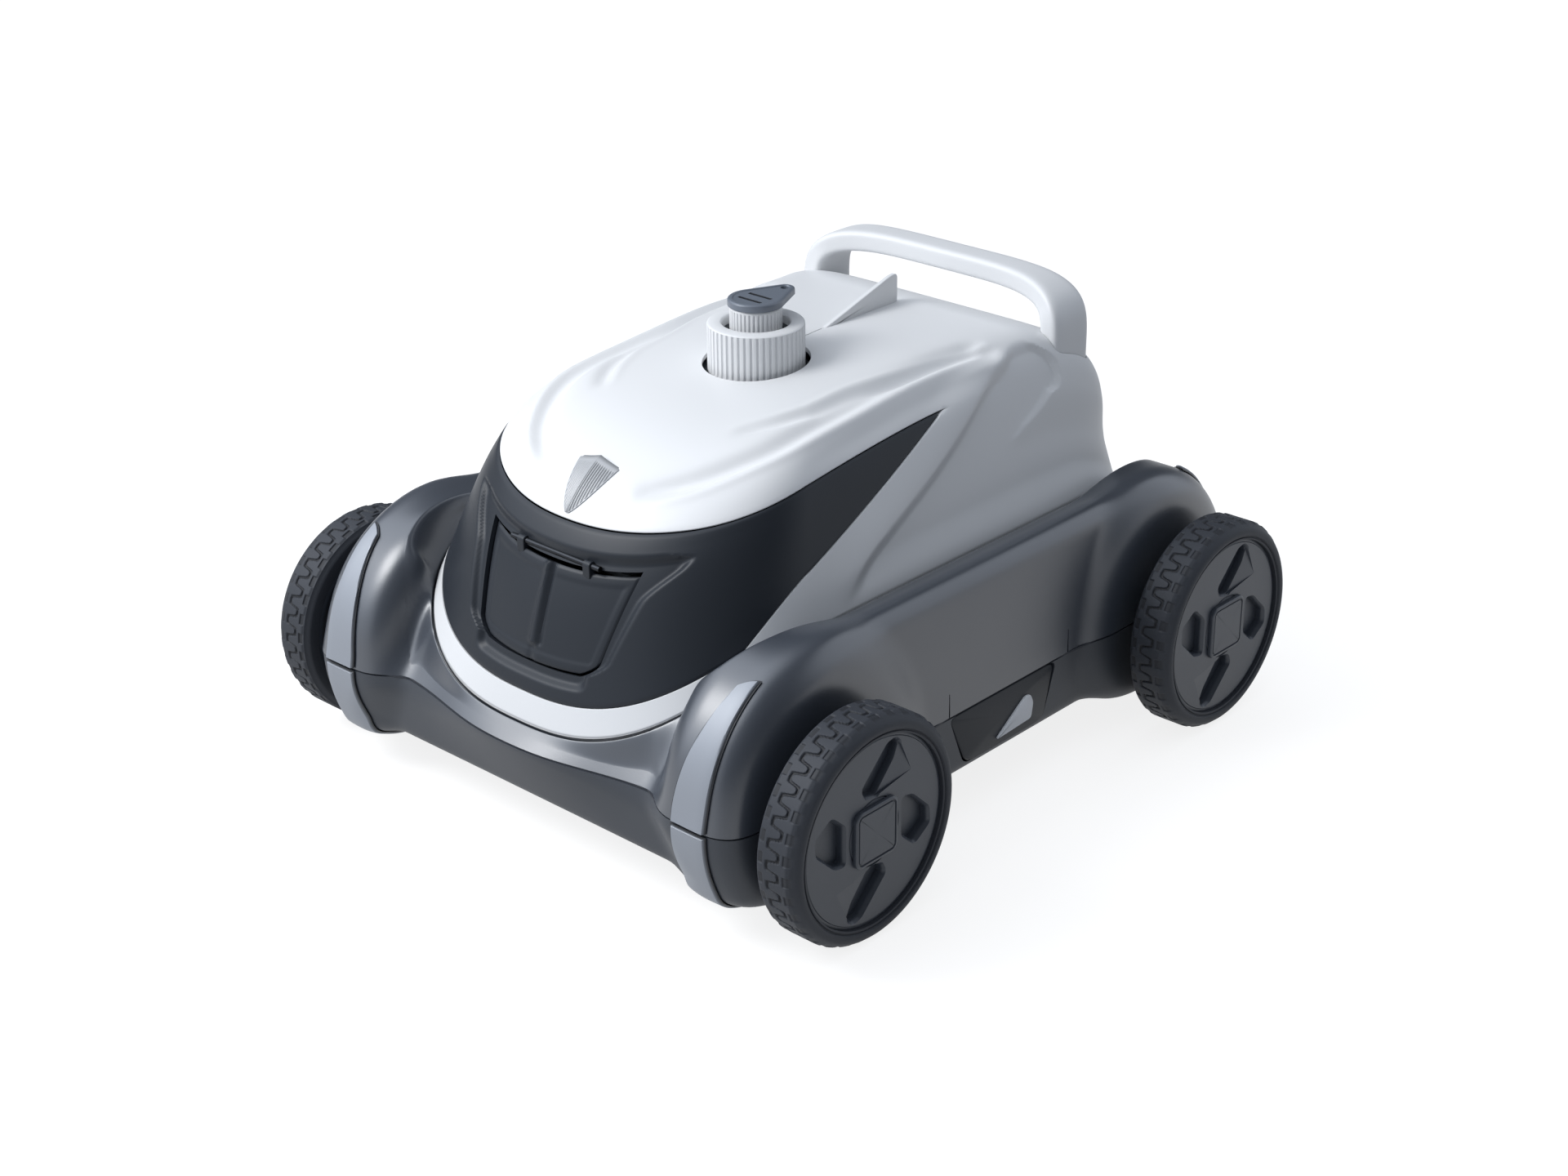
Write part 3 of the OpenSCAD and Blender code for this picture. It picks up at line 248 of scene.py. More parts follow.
def cast(origin, direction, reach=140.0):
    """Last point inside the hull along rays: found in 7 mm steps, then halved."""
    origin, direction = np.broadcast_arrays(origin, direction)

    def inside(t):
        """Whether the points at distances t along the rays lie in the hull."""
        p = origin + direction * t[..., None]
        return hull_field(p[..., 0], p[..., 1], p[..., 2]) < 0

    t = np.full(origin.shape[:-1], -1.0)
    for k in np.arange(reach, 0, -RAY_STEP):
        t = np.where((t < 0) & inside(np.full_like(t, k)), k, t)
    lo = np.where(t < 0, 0, t)
    hi = lo + RAY_STEP
    for _ in range(12):
        mid = (lo + hi) / 2
        ins = inside(mid)
        lo, hi = np.where(ins, mid, lo), np.where(ins, hi, mid)
    return origin + direction * lo[..., None]


def spine(u):
    """Line inside the hull from which the rays fan out."""
    x, y = plan(u, 98.0, FLANK_HALF, 60.0)
    return np.stack([x, y, np.full_like(x, SEAM_Z)], -1)


def foot(u, grow, dz):
    """Foot line of the cover, grown outwards and lifted."""
    by = cover_plan(u)[1]
    x, y = cover_plan(u, grow)
    return np.stack([x, y, foot_height(by) + dz], -1)


def heading(u):
    """Level direction from the spine through the cover foot."""
    d = (foot(u, 20, 0) - spine(u))[..., :2]
    d = d / np.linalg.norm(d, axis=-1, keepdims=True)
    return np.concatenate([d, 0 * d[..., :1]], -1)


def foot_angle(u):
    """Angle in degrees at which the cover foot is seen from the spine."""
    d = foot(u, 0, 0) - spine(u)
    return np.degrees(np.arctan2(d[..., 2], np.hypot(d[..., 0], d[..., 1])))


def hull_point(u, angle, lift=0.0):
    """Hull skin along the ray at an angle above the level."""
    a = np.radians(angle)[..., None]
    ray = heading(u) * np.cos(a) + np.array([0, 0, 1.0]) * np.sin(a)
    return cast(spine(u) + np.array([0, 0, lift]), ray)


def skin_point(p):
    """Top skin right above or below a plan position."""
    base = np.array(p, float)
    base[..., 2] = SEAM_Z
    return cast(base, np.array([0, 0, 1.0]), 98.0)


def span(u):
    """Width of hull outside the cover foot at the seam."""
    skin = hull_point(u, np.zeros_like(u), SEAM_GAP)
    return ((skin - foot(u, FOOT_GAP, 0)) * heading(u)).sum(-1)


def shore_most(u):
    """Greatest width of the shore: 14 mm at the ends and 9 mm along the flanks."""
    return 9 + 5 * ease((np.abs(from_nose(u) - 1.5) - 0.5) / 0.4)


def shore_width(u):
    """Width of the shore, at most 0.55 of the hull outside the foot."""
    return np.minimum(shore_most(u), 0.55 * span(u))


def shore_point(u, share):
    """Shore round the cover: the skin, lifted smoothly to the cover foot."""
    edge = foot(u, FOOT_GAP, 0)
    p = skin_point(foot(u, FOOT_GAP + shore_width(u) * share, 0))
    p[..., 2] += (edge[..., 2] - skin_point(edge)[..., 2]) * (1 - ease(share))
    return p


def fan_point(u, angle, k):
    """Skin point of the fan, kept outside the shore by k small steps."""
    o, head = spine(u) + np.array([0, 0, SEAM_GAP]), heading(u)
    p = hull_point(u, angle, SEAM_GAP)
    small = np.minimum(0.8, 0.04 * span(u))
    reach = ((foot(u, FOOT_GAP, 0) - o) * head).sum(-1) + shore_width(u) + k * small
    outside = ((p - o) * head).sum(-1) > reach
    return np.where(outside[..., None], p, skin_point(o + head * reach[..., None]))


# ---------------------------------------------------------------- meshes
def grid_normals(p, wrap):
    """Unit normals of a grid of points: cross product of its row and column differences."""
    du = (np.roll(p, -1, 1) - np.roll(p, 1, 1)) if wrap else np.gradient(p, axis=1)
    n = np.cross(du, np.gradient(p, axis=0))
    size = np.linalg.norm(n, axis=-1, keepdims=True)
    return n / np.maximum(size, 1e-9)


class Skin:
    """Gathers grids of points in millimetres, with one value a point, for one mesh in metres."""

    def __init__(self):
        self.points, self.values, self.faces, self.count = [], [], [], 0

    def add(self, p, value=0.0):
        """Adds points shaped (rows, columns, 3) and returns their numbers."""
        rows, cols = p.shape[:2]
        idx = self.count + np.arange(rows * cols).reshape(rows, cols)
        self.points.append(p.reshape(-1, 3))
        self.values.append(np.broadcast_to(value, (rows, cols)).reshape(-1).astype(float))
        self.count += rows * cols
        return idx

    def quads(self, idx, wrap=False, flip=False):
        """Faces between the rows of a grid of numbers."""
        a = np.concatenate([idx, idx[:, :1]], 1) if wrap else idx
        q = np.stack([a[:-1, :-1], a[:-1, 1:], a[1:, 1:], a[1:, :-1]], -1).reshape(-1, 4)
        self.faces.append(q[:, ::-1] if flip else q)

    def sheet(self, p, value=0.0, wrap=False, flip=False):
        """Adds a grid of points with its faces."""
        idx = self.add(p, value)
        self.quads(idx, wrap, flip)
        return idx

    def shell(self, outer, inner, value=0.0):
        """Closed wall between two grids of the same shape, the outer one facing out."""
        a, b = self.sheet(outer, value), self.sheet(inner, value, flip=True)
        for first, second in ((b[0], a[0]), (a[-1], b[-1]), (a[:, 0], b[:, 0]), (b[:, -1], a[:, -1])):
            self.quads(np.stack([first, second]))

    def tube(self, rings):
        """Closed body of rings: rows are rings that wrap, and both ends are filled."""
        idx = self.sheet(rings, wrap=True)
        for row, flip in ((0, True), (-1, False)):
            middle = self.add(rings[row].mean(0)[None, None])
            ring = np.concatenate([idx[row], idx[row][:1]])
            tri = np.stack([ring[:-1], ring[1:], np.full(len(ring) - 1, middle[0, 0])], -1)
            self.faces.append(tri[:, ::-1] if flip else tri)

    def mesh(self, name, sharp=32.0):
        """Writes the mesh: welded, smooth, and sharp where faces meet at more than an angle."""
        me = bpy.data.meshes.new(name)
        pts = np.concatenate(self.points) * 0.001
        faces = [f for block in self.faces for f in block.tolist()]
        me.from_pydata(pts.tolist(), [], faces)
        # each point's value: on most pieces painted shade in grooves and rims, on the cap its sunk bars
        attr = me.attributes.new("mark", "FLOAT", "POINT")
        attr.data.foreach_set("value", np.concatenate(self.values))
        me.update()
        weld(me)
        me.shade_smooth()
        me.set_sharp_from_angle(angle=math.radians(sharp))
        return me

    def piece(self, name, sharp=32.0):
        """The mesh as an object of the scene."""
        return place(self.mesh(name, sharp), name)


def weld(me, distance=2e-6):
    """Joins doubled points and drops faces without area."""
    import bmesh
    bm = bmesh.new()
    bm.from_mesh(me)
    bmesh.ops.remove_doubles(bm, verts=bm.verts, dist=distance)
    bmesh.ops.dissolve_degenerate(bm, edges=bm.edges, dist=distance / 2)
    bm.to_mesh(me)
    bm.free()


def place(me, name):
    """Puts a mesh into the scene, with its object at the origin."""
    obj = bpy.data.objects.new(name, me)
    bpy.context.scene.collection.objects.link(obj)
    return obj


def carve(obj, cutters, sharp=32.0):
    """Takes closed cutters away from a piece, one after the other, and keeps it smooth. The faces that a
    cutter leaves have mark 0."""
    for skin in cutters:
        tool = skin.piece("cutter")
        mod = obj.modifiers.new("carve", "BOOLEAN")
        mod.operation, mod.solver, mod.object = "DIFFERENCE", "EXACT", tool
        bpy.context.view_layer.update()
        dg = bpy.context.evaluated_depsgraph_get()
        me = bpy.data.meshes.new_from_object(obj.evaluated_get(dg))
        obj.modifiers.clear()
        old, obj.data = obj.data, me
        bpy.data.meshes.remove(old)
        bpy.data.objects.remove(tool)
    if not len(obj.data.polygons):
        raise RuntimeError(obj.name + " was lost when it was carved")
    obj.data.shade_smooth()
    obj.data.set_sharp_from_angle(angle=math.radians(sharp))
    return obj


def moved(me, matrix, name):
    """Copy of a mesh turned and moved in its own points."""
    me = me.copy()
    me.transform(matrix)
    me.name = name
    return place(me, name)


def rounded(points, radius, steps=6):
    """Closed outline with each corner replaced by a curve (1-t)^2 a + 2t(1-t) c + t^2 b."""
    p = np.array(points, float)
    back, ahead = np.roll(p, 1, 0) - p, np.roll(p, -1, 0) - p
    lb, la = np.linalg.norm(back, axis=1), np.linalg.norm(ahead, axis=1)
    r = np.minimum(radius, np.minimum(lb, la) * 0.48)
    a = p + back * (r / lb)[:, None]
    b = p + ahead * (r / la)[:, None]
    t = np.linspace(0, 1, steps)[None, :, None]
    curve = (1 - t) ** 2 * a[:, None] + 2 * t * (1 - t) * p[:, None] + t * t * b[:, None]
    return curve.reshape(-1, 2)


def grown(outline, d):
    """Outline moved outwards by d along its normals; it runs anticlockwise."""
    t = np.roll(outline, -1, 0) - np.roll(outline, 1, 0)
    n = np.stack([t[:, 1], -t[:, 0]], -1)
    return outline + d * n / np.maximum(np.linalg.norm(n, axis=1, keepdims=True), 1e-9)


def stack(outline, levels, axis="x"):
    """Rings of an outline: levels are (position along the axis, growth)."""
    rings = []
    for at, d in levels:
        a, b = grown(outline, d).T
        level = np.full(len(a), float(at))
        rings.append(np.stack([level, a, b] if axis == "x" else [a, b, level], -1))
    return np.stack(rings)


def turned(profile, steps, centre=(0.0, 0.0), axis="z", ripple=None):
    """Profile (radius, position) spun round an axis; ripple(angle, row) is added to the radius."""
    a = np.arange(steps) * 2 * np.pi / steps
    r = np.array([p[0] for p in profile])[:, None] + np.zeros((1, steps))
    t = np.array([p[1] for p in profile])[:, None] + np.zeros((1, steps))
    if ripple is not None:
        r = r + ripple(a[None, :], np.arange(len(profile))[:, None])
    c, s = r * np.cos(a) + centre[0], r * np.sin(a) + centre[1]
    return np.stack([c, s, t], -1) if axis == "z" else np.stack([t, c, s], -1)


# ---------------------------------------------------------------- finishes
class Value:
    """A shader socket with arithmetic: each operator adds one Math node."""

    def __init__(self, finish, socket):
        self.finish, self.socket = finish, socket

    def math(self, operation, *others):
        """Math node on this value and the others."""
        return self.finish.node("ShaderNodeMath", {"operation": operation},
                                dict(enumerate((self,) + others)))

    def __add__(self, other):
        return self.math("ADD", other)

    def __mul__(self, other):
        return self.math("MULTIPLY", other)

    def __sub__(self, other):
        return self.math("SUBTRACT", other)

    def __rsub__(self, other):
        return self.finish.node("ShaderNodeMath", {"operation": "SUBTRACT"}, {0: other, 1: self})

    __radd__, __rmul__ = __add__, __mul__


class Finish:
    """One procedural material, or the world, built node by node."""

    def __init__(self, name, world=False):
        self.made = (bpy.data.worlds if world else bpy.data.materials).new(name)
        self.made.use_nodes = True
        self.tree = self.made.node_tree
        self.tree.nodes.clear()
        self.out = self.tree.nodes.new("ShaderNodeOutputWorld" if world else "ShaderNodeOutputMaterial")

    def feed(self, socket, value):
        """Links a value to a socket, or sets the socket's own; a colour gets its alpha of 1."""
        if isinstance(value, Value):
            self.tree.links.new(value.socket, socket)
        elif hasattr(value, "__len__"):
            alpha = (1.0,) if len(value) < len(socket.default_value) else ()
            socket.default_value = tuple(value) + alpha
        else:
            socket.default_value = value

    def node(self, kind, settings=None, inputs=None, output=0):
        """Adds a node: its settings first, then the values or links of its sockets."""
        n = self.tree.nodes.new(kind)
        for key, value in (settings or {}).items():
            setattr(n, key, value)
        for key, value in (inputs or {}).items():
            self.feed(n.inputs[key], value)
        return Value(self, n.outputs[output])

    def noise(self, where, scale, detail=2.0, rough=0.5):
        """Soft noise, with its scale in cycles a metre."""
        return self.node("ShaderNodeTexNoise", None,
                         {"Vector": where, "Scale": scale, "Detail": detail, "Roughness": rough})

    def mix(self, factor, a, b):
        """Colour a where the factor is 0 and b where it is 1."""
        return self.node("ShaderNodeMix", {"data_type": "RGBA"}, {0: factor, 6: a, 7: b}, 2)

    def blend(self, factor, a, b):
        """The same for plain values."""
        return self.node("ShaderNodeMix", None, {0: factor, 2: a, 3: b})

    def finish(self, shader):
        """Links the last shader to the output and gives the material or world."""
        self.tree.links.new(shader.socket, self.out.inputs["Surface"])
        return self.made


def moulded(name, colour, roughness, marked=None, speckle=0.12, grain=0.2, pitch=0.7, specular=0.5,
            coat=0.0, metallic=0.0, drift=0.2):
    """Moulded part: a spark-eroded grain of one pitch in mm and a slow drift of tone. It has a second
    colour where the piece's point value is 1, or else pale specks in its grain. On most pieces that
    second colour is painted shade in grooves and rims."""
    f = Finish(name)
    where = f.node("ShaderNodeTexCoord", output="Object")
    fine = f.noise(where, 1000 / pitch, 3.0, 0.6)
    broad = f.noise(where, 14.0, 3.0, 0.55)
    base = f.mix(broad * drift, colour, tuple(c * 0.55 for c in colour))
    # second colour by the point value: painted shade in grooves and rims, and the cap's sunk bars
    if marked is not None:
        mark = f.node("ShaderNodeAttribute", {"attribute_name": "mark"}, output="Fac")
        base = f.mix(mark, base, marked)
    elif speckle:
        base = f.mix(fine * speckle, base, tuple(min(1, c * 1.25) for c in colour))
    rough = roughness + (broad - 0.5) * 0.10 + (fine - 0.5) * 0.06
    bump = f.node("ShaderNodeBump", None, {"Strength": grain, "Distance": 0.0001, "Height": fine})
    return f.finish(f.node("ShaderNodeBsdfPrincipled", None, {
        "Base Color": base, "Roughness": rough, "Normal": bump, "Metallic": metallic,
        "Specular IOR Level": specular, "Coat Weight": coat, "Coat Roughness": 0.25}))


def brushed(name, colour, roughness=0.32):
    """Drawn steel: long scratches across X with a little bump."""
    f = Finish(name)
    where = f.node("ShaderNodeTexCoord", output="Object")
    drawn = f.node("ShaderNodeMapping", None, {"Vector": where, "Scale": (30.0, 900.0, 900.0)})
    lines = f.noise(drawn, 1.0, 4.0, 0.6)
    bump = f.node("ShaderNodeBump", None, {"Strength": 0.25, "Distance": 0.00005, "Height": lines})
    base = f.mix(lines * 0.4, colour, tuple(c * 0.6 for c in colour))
    return f.finish(f.node("ShaderNodeBsdfPrincipled", None, {
        "Base Color": base, "Roughness": roughness + (lines - 0.5) * 0.2, "Normal": bump, "Metallic": 1.0}))


def coat_with(obj, material, slot):
    """Gives a piece its one finish; the slot name is not used."""
    obj.data.materials.clear()
    obj.data.materials.append(material)
    return obj


# ---------------------------------------------------------------- creases of the cover
def through(points, count):
    """Catmull-Rom curve: 0.5 (2b + (c-a)t + (2a-5b+4c-d)t^2 + (3b-a-3c+d)t^3)."""
    p = np.array(points, float)
    q = np.concatenate([[2 * p[0] - p[1]], p, [2 * p[-1] - p[-2]]])
    s = np.linspace(0, len(p) - 1 - 1e-9, count)
    i = s.astype(int)
    t = (s - i)[:, None]
    a, b, c, d = q[i], q[i + 1], q[i + 2], q[i + 3]
    return 0.5 * (2 * b + (c - a) * t + (2 * a - 5 * b + 4 * c - d) * t ** 2
                  + (3 * b - a - 3 * c + d) * t ** 3)


BATCH = 8192


def from_crease(points, p):
    """Signed distance of grid points from a crease laid on the right flank, and the share of its
    length; the left side mirrors it. Positive is above a crease that runs to the rear."""
    uh = through(points, 240)
    line = cover_point(uh[:, 0], uh[:, 1])
    side = np.cross(cover_normal(uh[:, 0], uh[:, 1]), np.gradient(line, axis=0))
    flat = p.reshape(-1, 3).copy()
    flat[:, 0] = np.abs(flat[:, 0])
    d, share = np.empty(len(flat)), np.empty(len(flat))
    for start in range(0, len(flat), BATCH):
        w = flat[start:start + BATCH, None] - line[None]
        gap = (w ** 2).sum(-1)
        k = gap.argmin(1)
        rows = np.arange(len(k))
        sign = np.sign((w[rows, k] * side[k]).sum(-1))
        d[start:start + BATCH] = np.sqrt(gap[rows, k]) * sign
        share[start:start + BATCH] = k / (len(line) - 1)
    return d.reshape(p.shape[:-1]), share.reshape(p.shape[:-1])


# Creases as (column, height share) on the right flank.
LOWER_SWOOSH = [(0.22, 0.824), (0.30, 0.842), (0.48, 0.871), (0.73, 0.916), (1.0, 0.944), (1.25, 0.949),
                (1.5, 0.957), (1.7, 0.960), (1.88, 0.955)]
UPPER_SWOOSH = [(0.44, 0.976), (0.58, 0.986), (0.9, 0.995), (1.25, 0.996), (1.52, 0.991), (1.75, 0.986),
                (1.9, 0.975)]
FLANK_EDGE = [(1.90, 0.96), (1.86, 0.928), (1.73, 0.83), (1.60, 0.669), (1.47, 0.527), (1.35, 0.412),
              (1.21, 0.269), (1.14, 0.12), (1.10, 0.0)]
LEG_EDGE = [(1.99, 0.985), (2.0, 0.93), (2.02, 0.84), (2.02, 0.743), (2.0, 0.66), (1.94, 0.58), (1.87, 0.522)]


def cover_relief(u, h, p, depth):
    """Height of the styling over the plain cover. Each swoosh is a ridge exp(-(d/a)^2) with a valley
    beside it; the flank steps in behind its edge and out again at the handle leg."""
    v = from_nose(u) + 0 * h
    d1, t1 = from_crease(LOWER_SWOOSH, p)
    d2, t2 = from_crease(UPPER_SWOOSH, p)
    d3, _ = from_crease(FLANK_EDGE, p)
    d4, _ = from_crease(LEG_EDGE, p)
    end1, end2 = ease((1 - t1) / 0.07), ease((1 - t2) / 0.07)
    lower = (1.3 * bell(d1 / 3.2) - 3.6 * bell((d1 - 7.5) / 6)) * ease(t1 / 0.22) * end1
    upper = (0.9 * bell(d2 / 3) - 2.5 * bell((d2 + 6) / 4.5)) * ease(t2 / 0.3) * end2
    band = -2.0 * bell((d1 + 11) / 7) * ease((t1 - 0.35) / 0.3) * end1
    behind = ease(d3 / 10) * ease((v - 1.0) / 0.15) * ease((2.85 - v) / 0.4)
    within = ease((0.965 - h) / 0.07) * ease((h - 0.02) / 0.22)
    leg = ease((d4 + 2) / 3) * ease((h - 0.4) / 0.3) * ease((v - 1.8) / 0.05)
    along = ease((v - 1.05) / 0.2) * ease((2.2 - v) / 0.2)
    edge = 2.2 * ease((d3 + 24) / 22) * along * within * (1 - behind)
    step = -3.2 * behind * within * (1 - leg)
    return depth * (lower + upper + band + step + edge)


def raised(p, relief, wrap):
    """Grid moved along its normals."""
    n = grid_normals(p, wrap)
    return p + n * relief[..., None], n


def edged(count, lip):
    """Shares from 0 to 1 with one close row at each end, for a rounded lip."""
    return np.concatenate([[0], np.linspace(lip, 1 - lip, count - 2), [1]])


# ---------------------------------------------------------------- covers and end panels
WALL = 2.5
CONTROL_Y, WELL_R = -24.0, 29.0


def half_mirrored(u):
    """Columns 0..3 and their mirror image, as one closed row without doubles."""
    return np.concatenate([u, PERIOD - u[-2:0:-1]])


def inner_side(p, n):
    """Inner side of a cover wall."""
    return p - n * WALL


def handle_outline(wx, wy, grow=0.0, count=56):
    """Section of the handle: superellipse |x|^5 + |y|^5 with evenly spread points."""
    a = np.arange(count) * 2 * np.pi / count
    a = a - 0.16 * np.sin(4 * a)
    x, y = spow(np.cos(a), 0.4), spow(np.sin(a), 0.4)
    return np.stack([(wx / 2 + grow) * x, (wy / 2 + grow) * y], -1)


HANDLE_X, HANDLE_Y, POST_T, FOOT_W, BAR_W, BAR_T = 87.0, 130.5, 13.0, 31.0, 19.0, 12.5
ARCH_Z, BAR_Z, HANDLE_FOOT_Z = 200.0, 236.75, 177.0


def socket_cutters():
    """Upright holes for both feet of the handle, 0.45 mm wider all round."""
    out = []
    for side in (-1, 1):
        skin = Skin()
        o = handle_outline(POST_T, FOOT_W, 0.45) + np.array([side * HANDLE_X, HANDLE_Y])
        skin.tube(stack(o, [(HANDLE_FOOT_Z - 0.6, 0), (245, 0)], "z"))
        out.append(skin)
    return out


def behind_tip(u):
    """1 between the tips of the front and the rear panel, where the side cover meets the roof."""
    return ease((from_nose(u) - 1.56) / 0.02) * ease((2.43 - from_nose(u)) / 0.02)


def side_cover(depth, cols=640, rows=58):
    """Lower cover shell, from its foot up to the end panels and the roof: the cover surface with its
    relief, and lips exp(-(d/0.5)^2) at both rims."""
    u = half_mirrored(even_columns(0, 3, cols // 2 + 1))[None]
    s = edged(rows, 0.008)[:, None]
    h = panel_foot(u) * s
    p = cover_point(u + 0 * s, h)
    relief = (cover_relief(u + 0 * s, h, p, depth) - 0.5 * bell(s * panel_foot(u) * 95 / 0.5)
              - 0.6 * bell((1 - s) * 90 / 0.5) * (1 - behind_tip(u)))
    p, n = raised(p, relief, True)
    low, low_in = foot(u, 0, -1.8), foot(u, -WALL, -1.8)
    skin = Skin()
    skin.sheet(np.concatenate([low, p, inner_side(p, n)[::-4], low_in, low]), wrap=True)
    return carve(skin.piece("side_cover"), socket_cutters())


def roof_cover(depth, cols=520, rows=96):
    """Deck and shoulders: one cup from the panel tops to the middle line, with the control well cut
    out. Its width share is f = 1 - t^1.3, and its normals turn upright in the flat middle."""
    u = half_mirrored(even_columns(0, 3, cols // 2 + 1, 0.8))[None]
    t = edged(rows, 0.004)[:, None]
    joined = behind_tip(u)
    h1 = panel_top(u) + PANEL_FIT * (1 - joined)
    f = 1 - t ** 1.3
    p = deck_point(u + 0 * t, h1 + 0 * t, f)
    m = shoulder(u)
    h = (1 - (f * (1 - h1 ** m) ** (1 / m)) ** m) ** (1 / m)
    relief = cover_relief(u + 0 * t, np.minimum(h, 0.9995), p, depth)
    relief = relief * ease((0.995 - t) / 0.05) - 0.6 * bell(t * 160 / 0.6) * (1 - joined)
    n = grid_normals(p, True)
    flat = ease((t - 0.9) / 0.05)[..., None]
    n = n * (1 - flat) + np.array([0, 0, 1.0]) * flat
    p = p + n * relief[..., None]
    skin = Skin()
    skin.sheet(np.concatenate([p, inner_side(p, n)[::-4], p[:1]]), wrap=True)
    well = Skin()
    well.tube(turned([(WELL_R, 190), (WELL_R, 250)], 192, (0, CONTROL_Y)))
    return carve(skin.piece("roof_cover"), socket_cutters() + [well])


def flap_half(t):
    """Half width of a flap over its height share: wider at the top, with rounded lower corners."""
    return 41 + 15 * t - 9 * (1 - np.minimum(np.maximum(t, 0) / 0.14, 1)) ** 2


# Height shares of the flap's ends, its thickness, and the millimetres of a whole height share there.
FLAP_LOW, FLAP_TOP, FLAP_T, SHARE_MM = 0.24, 0.615, 2.5, 130.0
CROWD = 0.62


def frame_recess(x, h, depth=3.0, rim=9.0):
    """Recess round a flap: full depth within the rim, and a short ramp outside it. The upper corners
    are drawn out to points."""
    t = (h - FLAP_LOW) / (FLAP_TOP - FLAP_LOW)
    point = 12 * ease((t - 0.72) / 0.4) * ease((1.2 - t) / 0.1)
    dx = (np.abs(x) - flap_half(np.clip(t, 0, 1)) - point) * 0.98
    dz = np.maximum(FLAP_LOW - h, h - FLAP_TOP) * SHARE_MM
    return depth * ease((rim - smax(dx, dz, 5.0)) / 4.6)


def end_cover(name, lo, hi, cols, rows, rear):
    """Dark end panel between the side cover and the roof, with a sunk frame and a window for the flap.
    Its columns crowd round the flap: x (1 - 0.62 exp(-(x/0.42)^4))."""
    x = np.linspace(-1, 1, cols)
    x = x * (1 - CROWD * np.exp(-((x / 0.42) ** 4))) / (1 - CROWD * math.exp(-((1 / 0.42) ** 4)))
    even = even_columns(lo, hi, 2001, 0.45)
    u = np.interp(np.maximum.accumulate(x), np.linspace(-1, 1, 2001), even)[None]
    s = edged(rows, 0.008)[:, None]
    a, b = panel_foot(u) + PANEL_FIT, panel_top(u) - PANEL_FIT
    h = a + (b - a) * s
    p = cover_point(u + 0 * s, h)
    width = (b - a) * 95
    lip = 0.6 * bell(s * width / 0.6) + 0.6 * bell((1 - s) * width / 0.6)
    p, n = raised(p, -(frame_recess(p[..., 0], h) + lip), False)
    skin = Skin()
    skin.shell(p, inner_side(p, n))
    return carve(skin.piece(name), [flap_window(rear)])


def flap_rows(grow, depth, rear, rows=40, cols=61):
    """Grid of a flap or its window over (height, width), at a depth under the cover."""
    mm = grow / SHARE_MM
    t = np.linspace(0, 1, rows)[:, None]
    h = FLAP_LOW - mm + (FLAP_TOP - FLAP_LOW + mm * 2.6) * t
    j = np.linspace(-1, 1, cols)[None]
    x = (flap_half(t) + grow) * j
    u = column_at(x, h + 0 * j, rear)
    h = h + 0 * j
    return cover_point(u, h) - cover_normal(u, h) * depth, x, t + 0 * j


def flap_window(rear):
    """Cutter for the window of a flap, 1.2 mm wider than the flap and a little more above it."""
    skin = Skin()
    far, near = flap_rows(1.2, -6, rear)[0], flap_rows(1.2, 10, rear)[0]
    if rear:
        far, near = far[:, ::-1], near[:, ::-1]
    skin.shell(far, near)
    return skin


def swing_flap(name, rear):
    """Outlet flap: a curved plate with a prow 1.7 - 0.07 |x|, a middle rib with a valley beside it,
    rolled edges and two hinge knuckles."""
    p, x, t = flap_rows(0, 3, rear, 54, 97)
    h = FLAP_LOW + (FLAP_TOP - FLAP_LOW) * t
    n = cover_normal(column_at(x, h, rear), h)
    edge = np.minimum(flap_half(t[:, :1]) - np.abs(x), np.minimum(t, 1 - t) * 49)
    rib = (1.2 * bell(x / 2.6) - 0.9 * bell((x - 4.2) / 1.3)) * ease((t - 0.16) / 0.03)
    notch = 0.8 * bell(x / 2) * (t < 0.14)
    prow = 1.7 - 0.07 * np.abs(x)
    sunk = 0.7 * bell(edge / 0.6) + 0.35 * ease((edge - 4) / 2)
    outer, inner = p + n * (prow + rib - notch - sunk)[..., None], p - n * FLAP_T
    if rear:
        outer, inner = outer[:, ::-1], inner[:, ::-1]
    skin = Skin()
    skin.shell(outer, inner)
    node = "tail_flap" if rear else "front_flap"
    y, z = PINS[node]
    arc = np.linspace(0, math.pi, 24)[:, None]
    head = np.concatenate([y + KNUCKLE_R * np.cos(arc), z + KNUCKLE_R * np.sin(arc)], 1)
    stem = np.concatenate([head, [[y - KNUCKLE_R, z - 6], [y + KNUCKLE_R, z - 6]]])
    for cx in (-24, 24):
        skin.tube(stack(stem, [(cx - 2.5, -0.3), (cx - 2.2, 0), (cx + 2.2, 0), (cx + 2.5, -0.3)]))
    obj = skin.piece(name)
    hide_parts(node)
    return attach(obj, node)


def pin_centres():
    """Hinge pins of the two flaps, as (y, z): the front one is the higher."""
    lo, hi = node_box("flap_pins")
    return {"front_flap": (lo[1] + PIN_R, hi[2] - PIN_R), "tail_flap": (hi[1] - PIN_R, lo[2] + PIN_R)}


PIN_R, KNUCKLE_R = 1.5, 2.4
PINS = pin_centres()


# ---------------------------------------------------------------- hull shells
def hull_slope(p, e=0.5):
    """Unit gradient of the hull field, from differences over e."""
    f = hull_field(*np.moveaxis(p, -1, 0))
    g = np.stack([hull_field(*np.moveaxis(p + e * axis, -1, 0)) - f for axis in np.eye(3)], -1)
    return g / np.maximum(np.linalg.norm(g, axis=-1, keepdims=True), 1e-9)


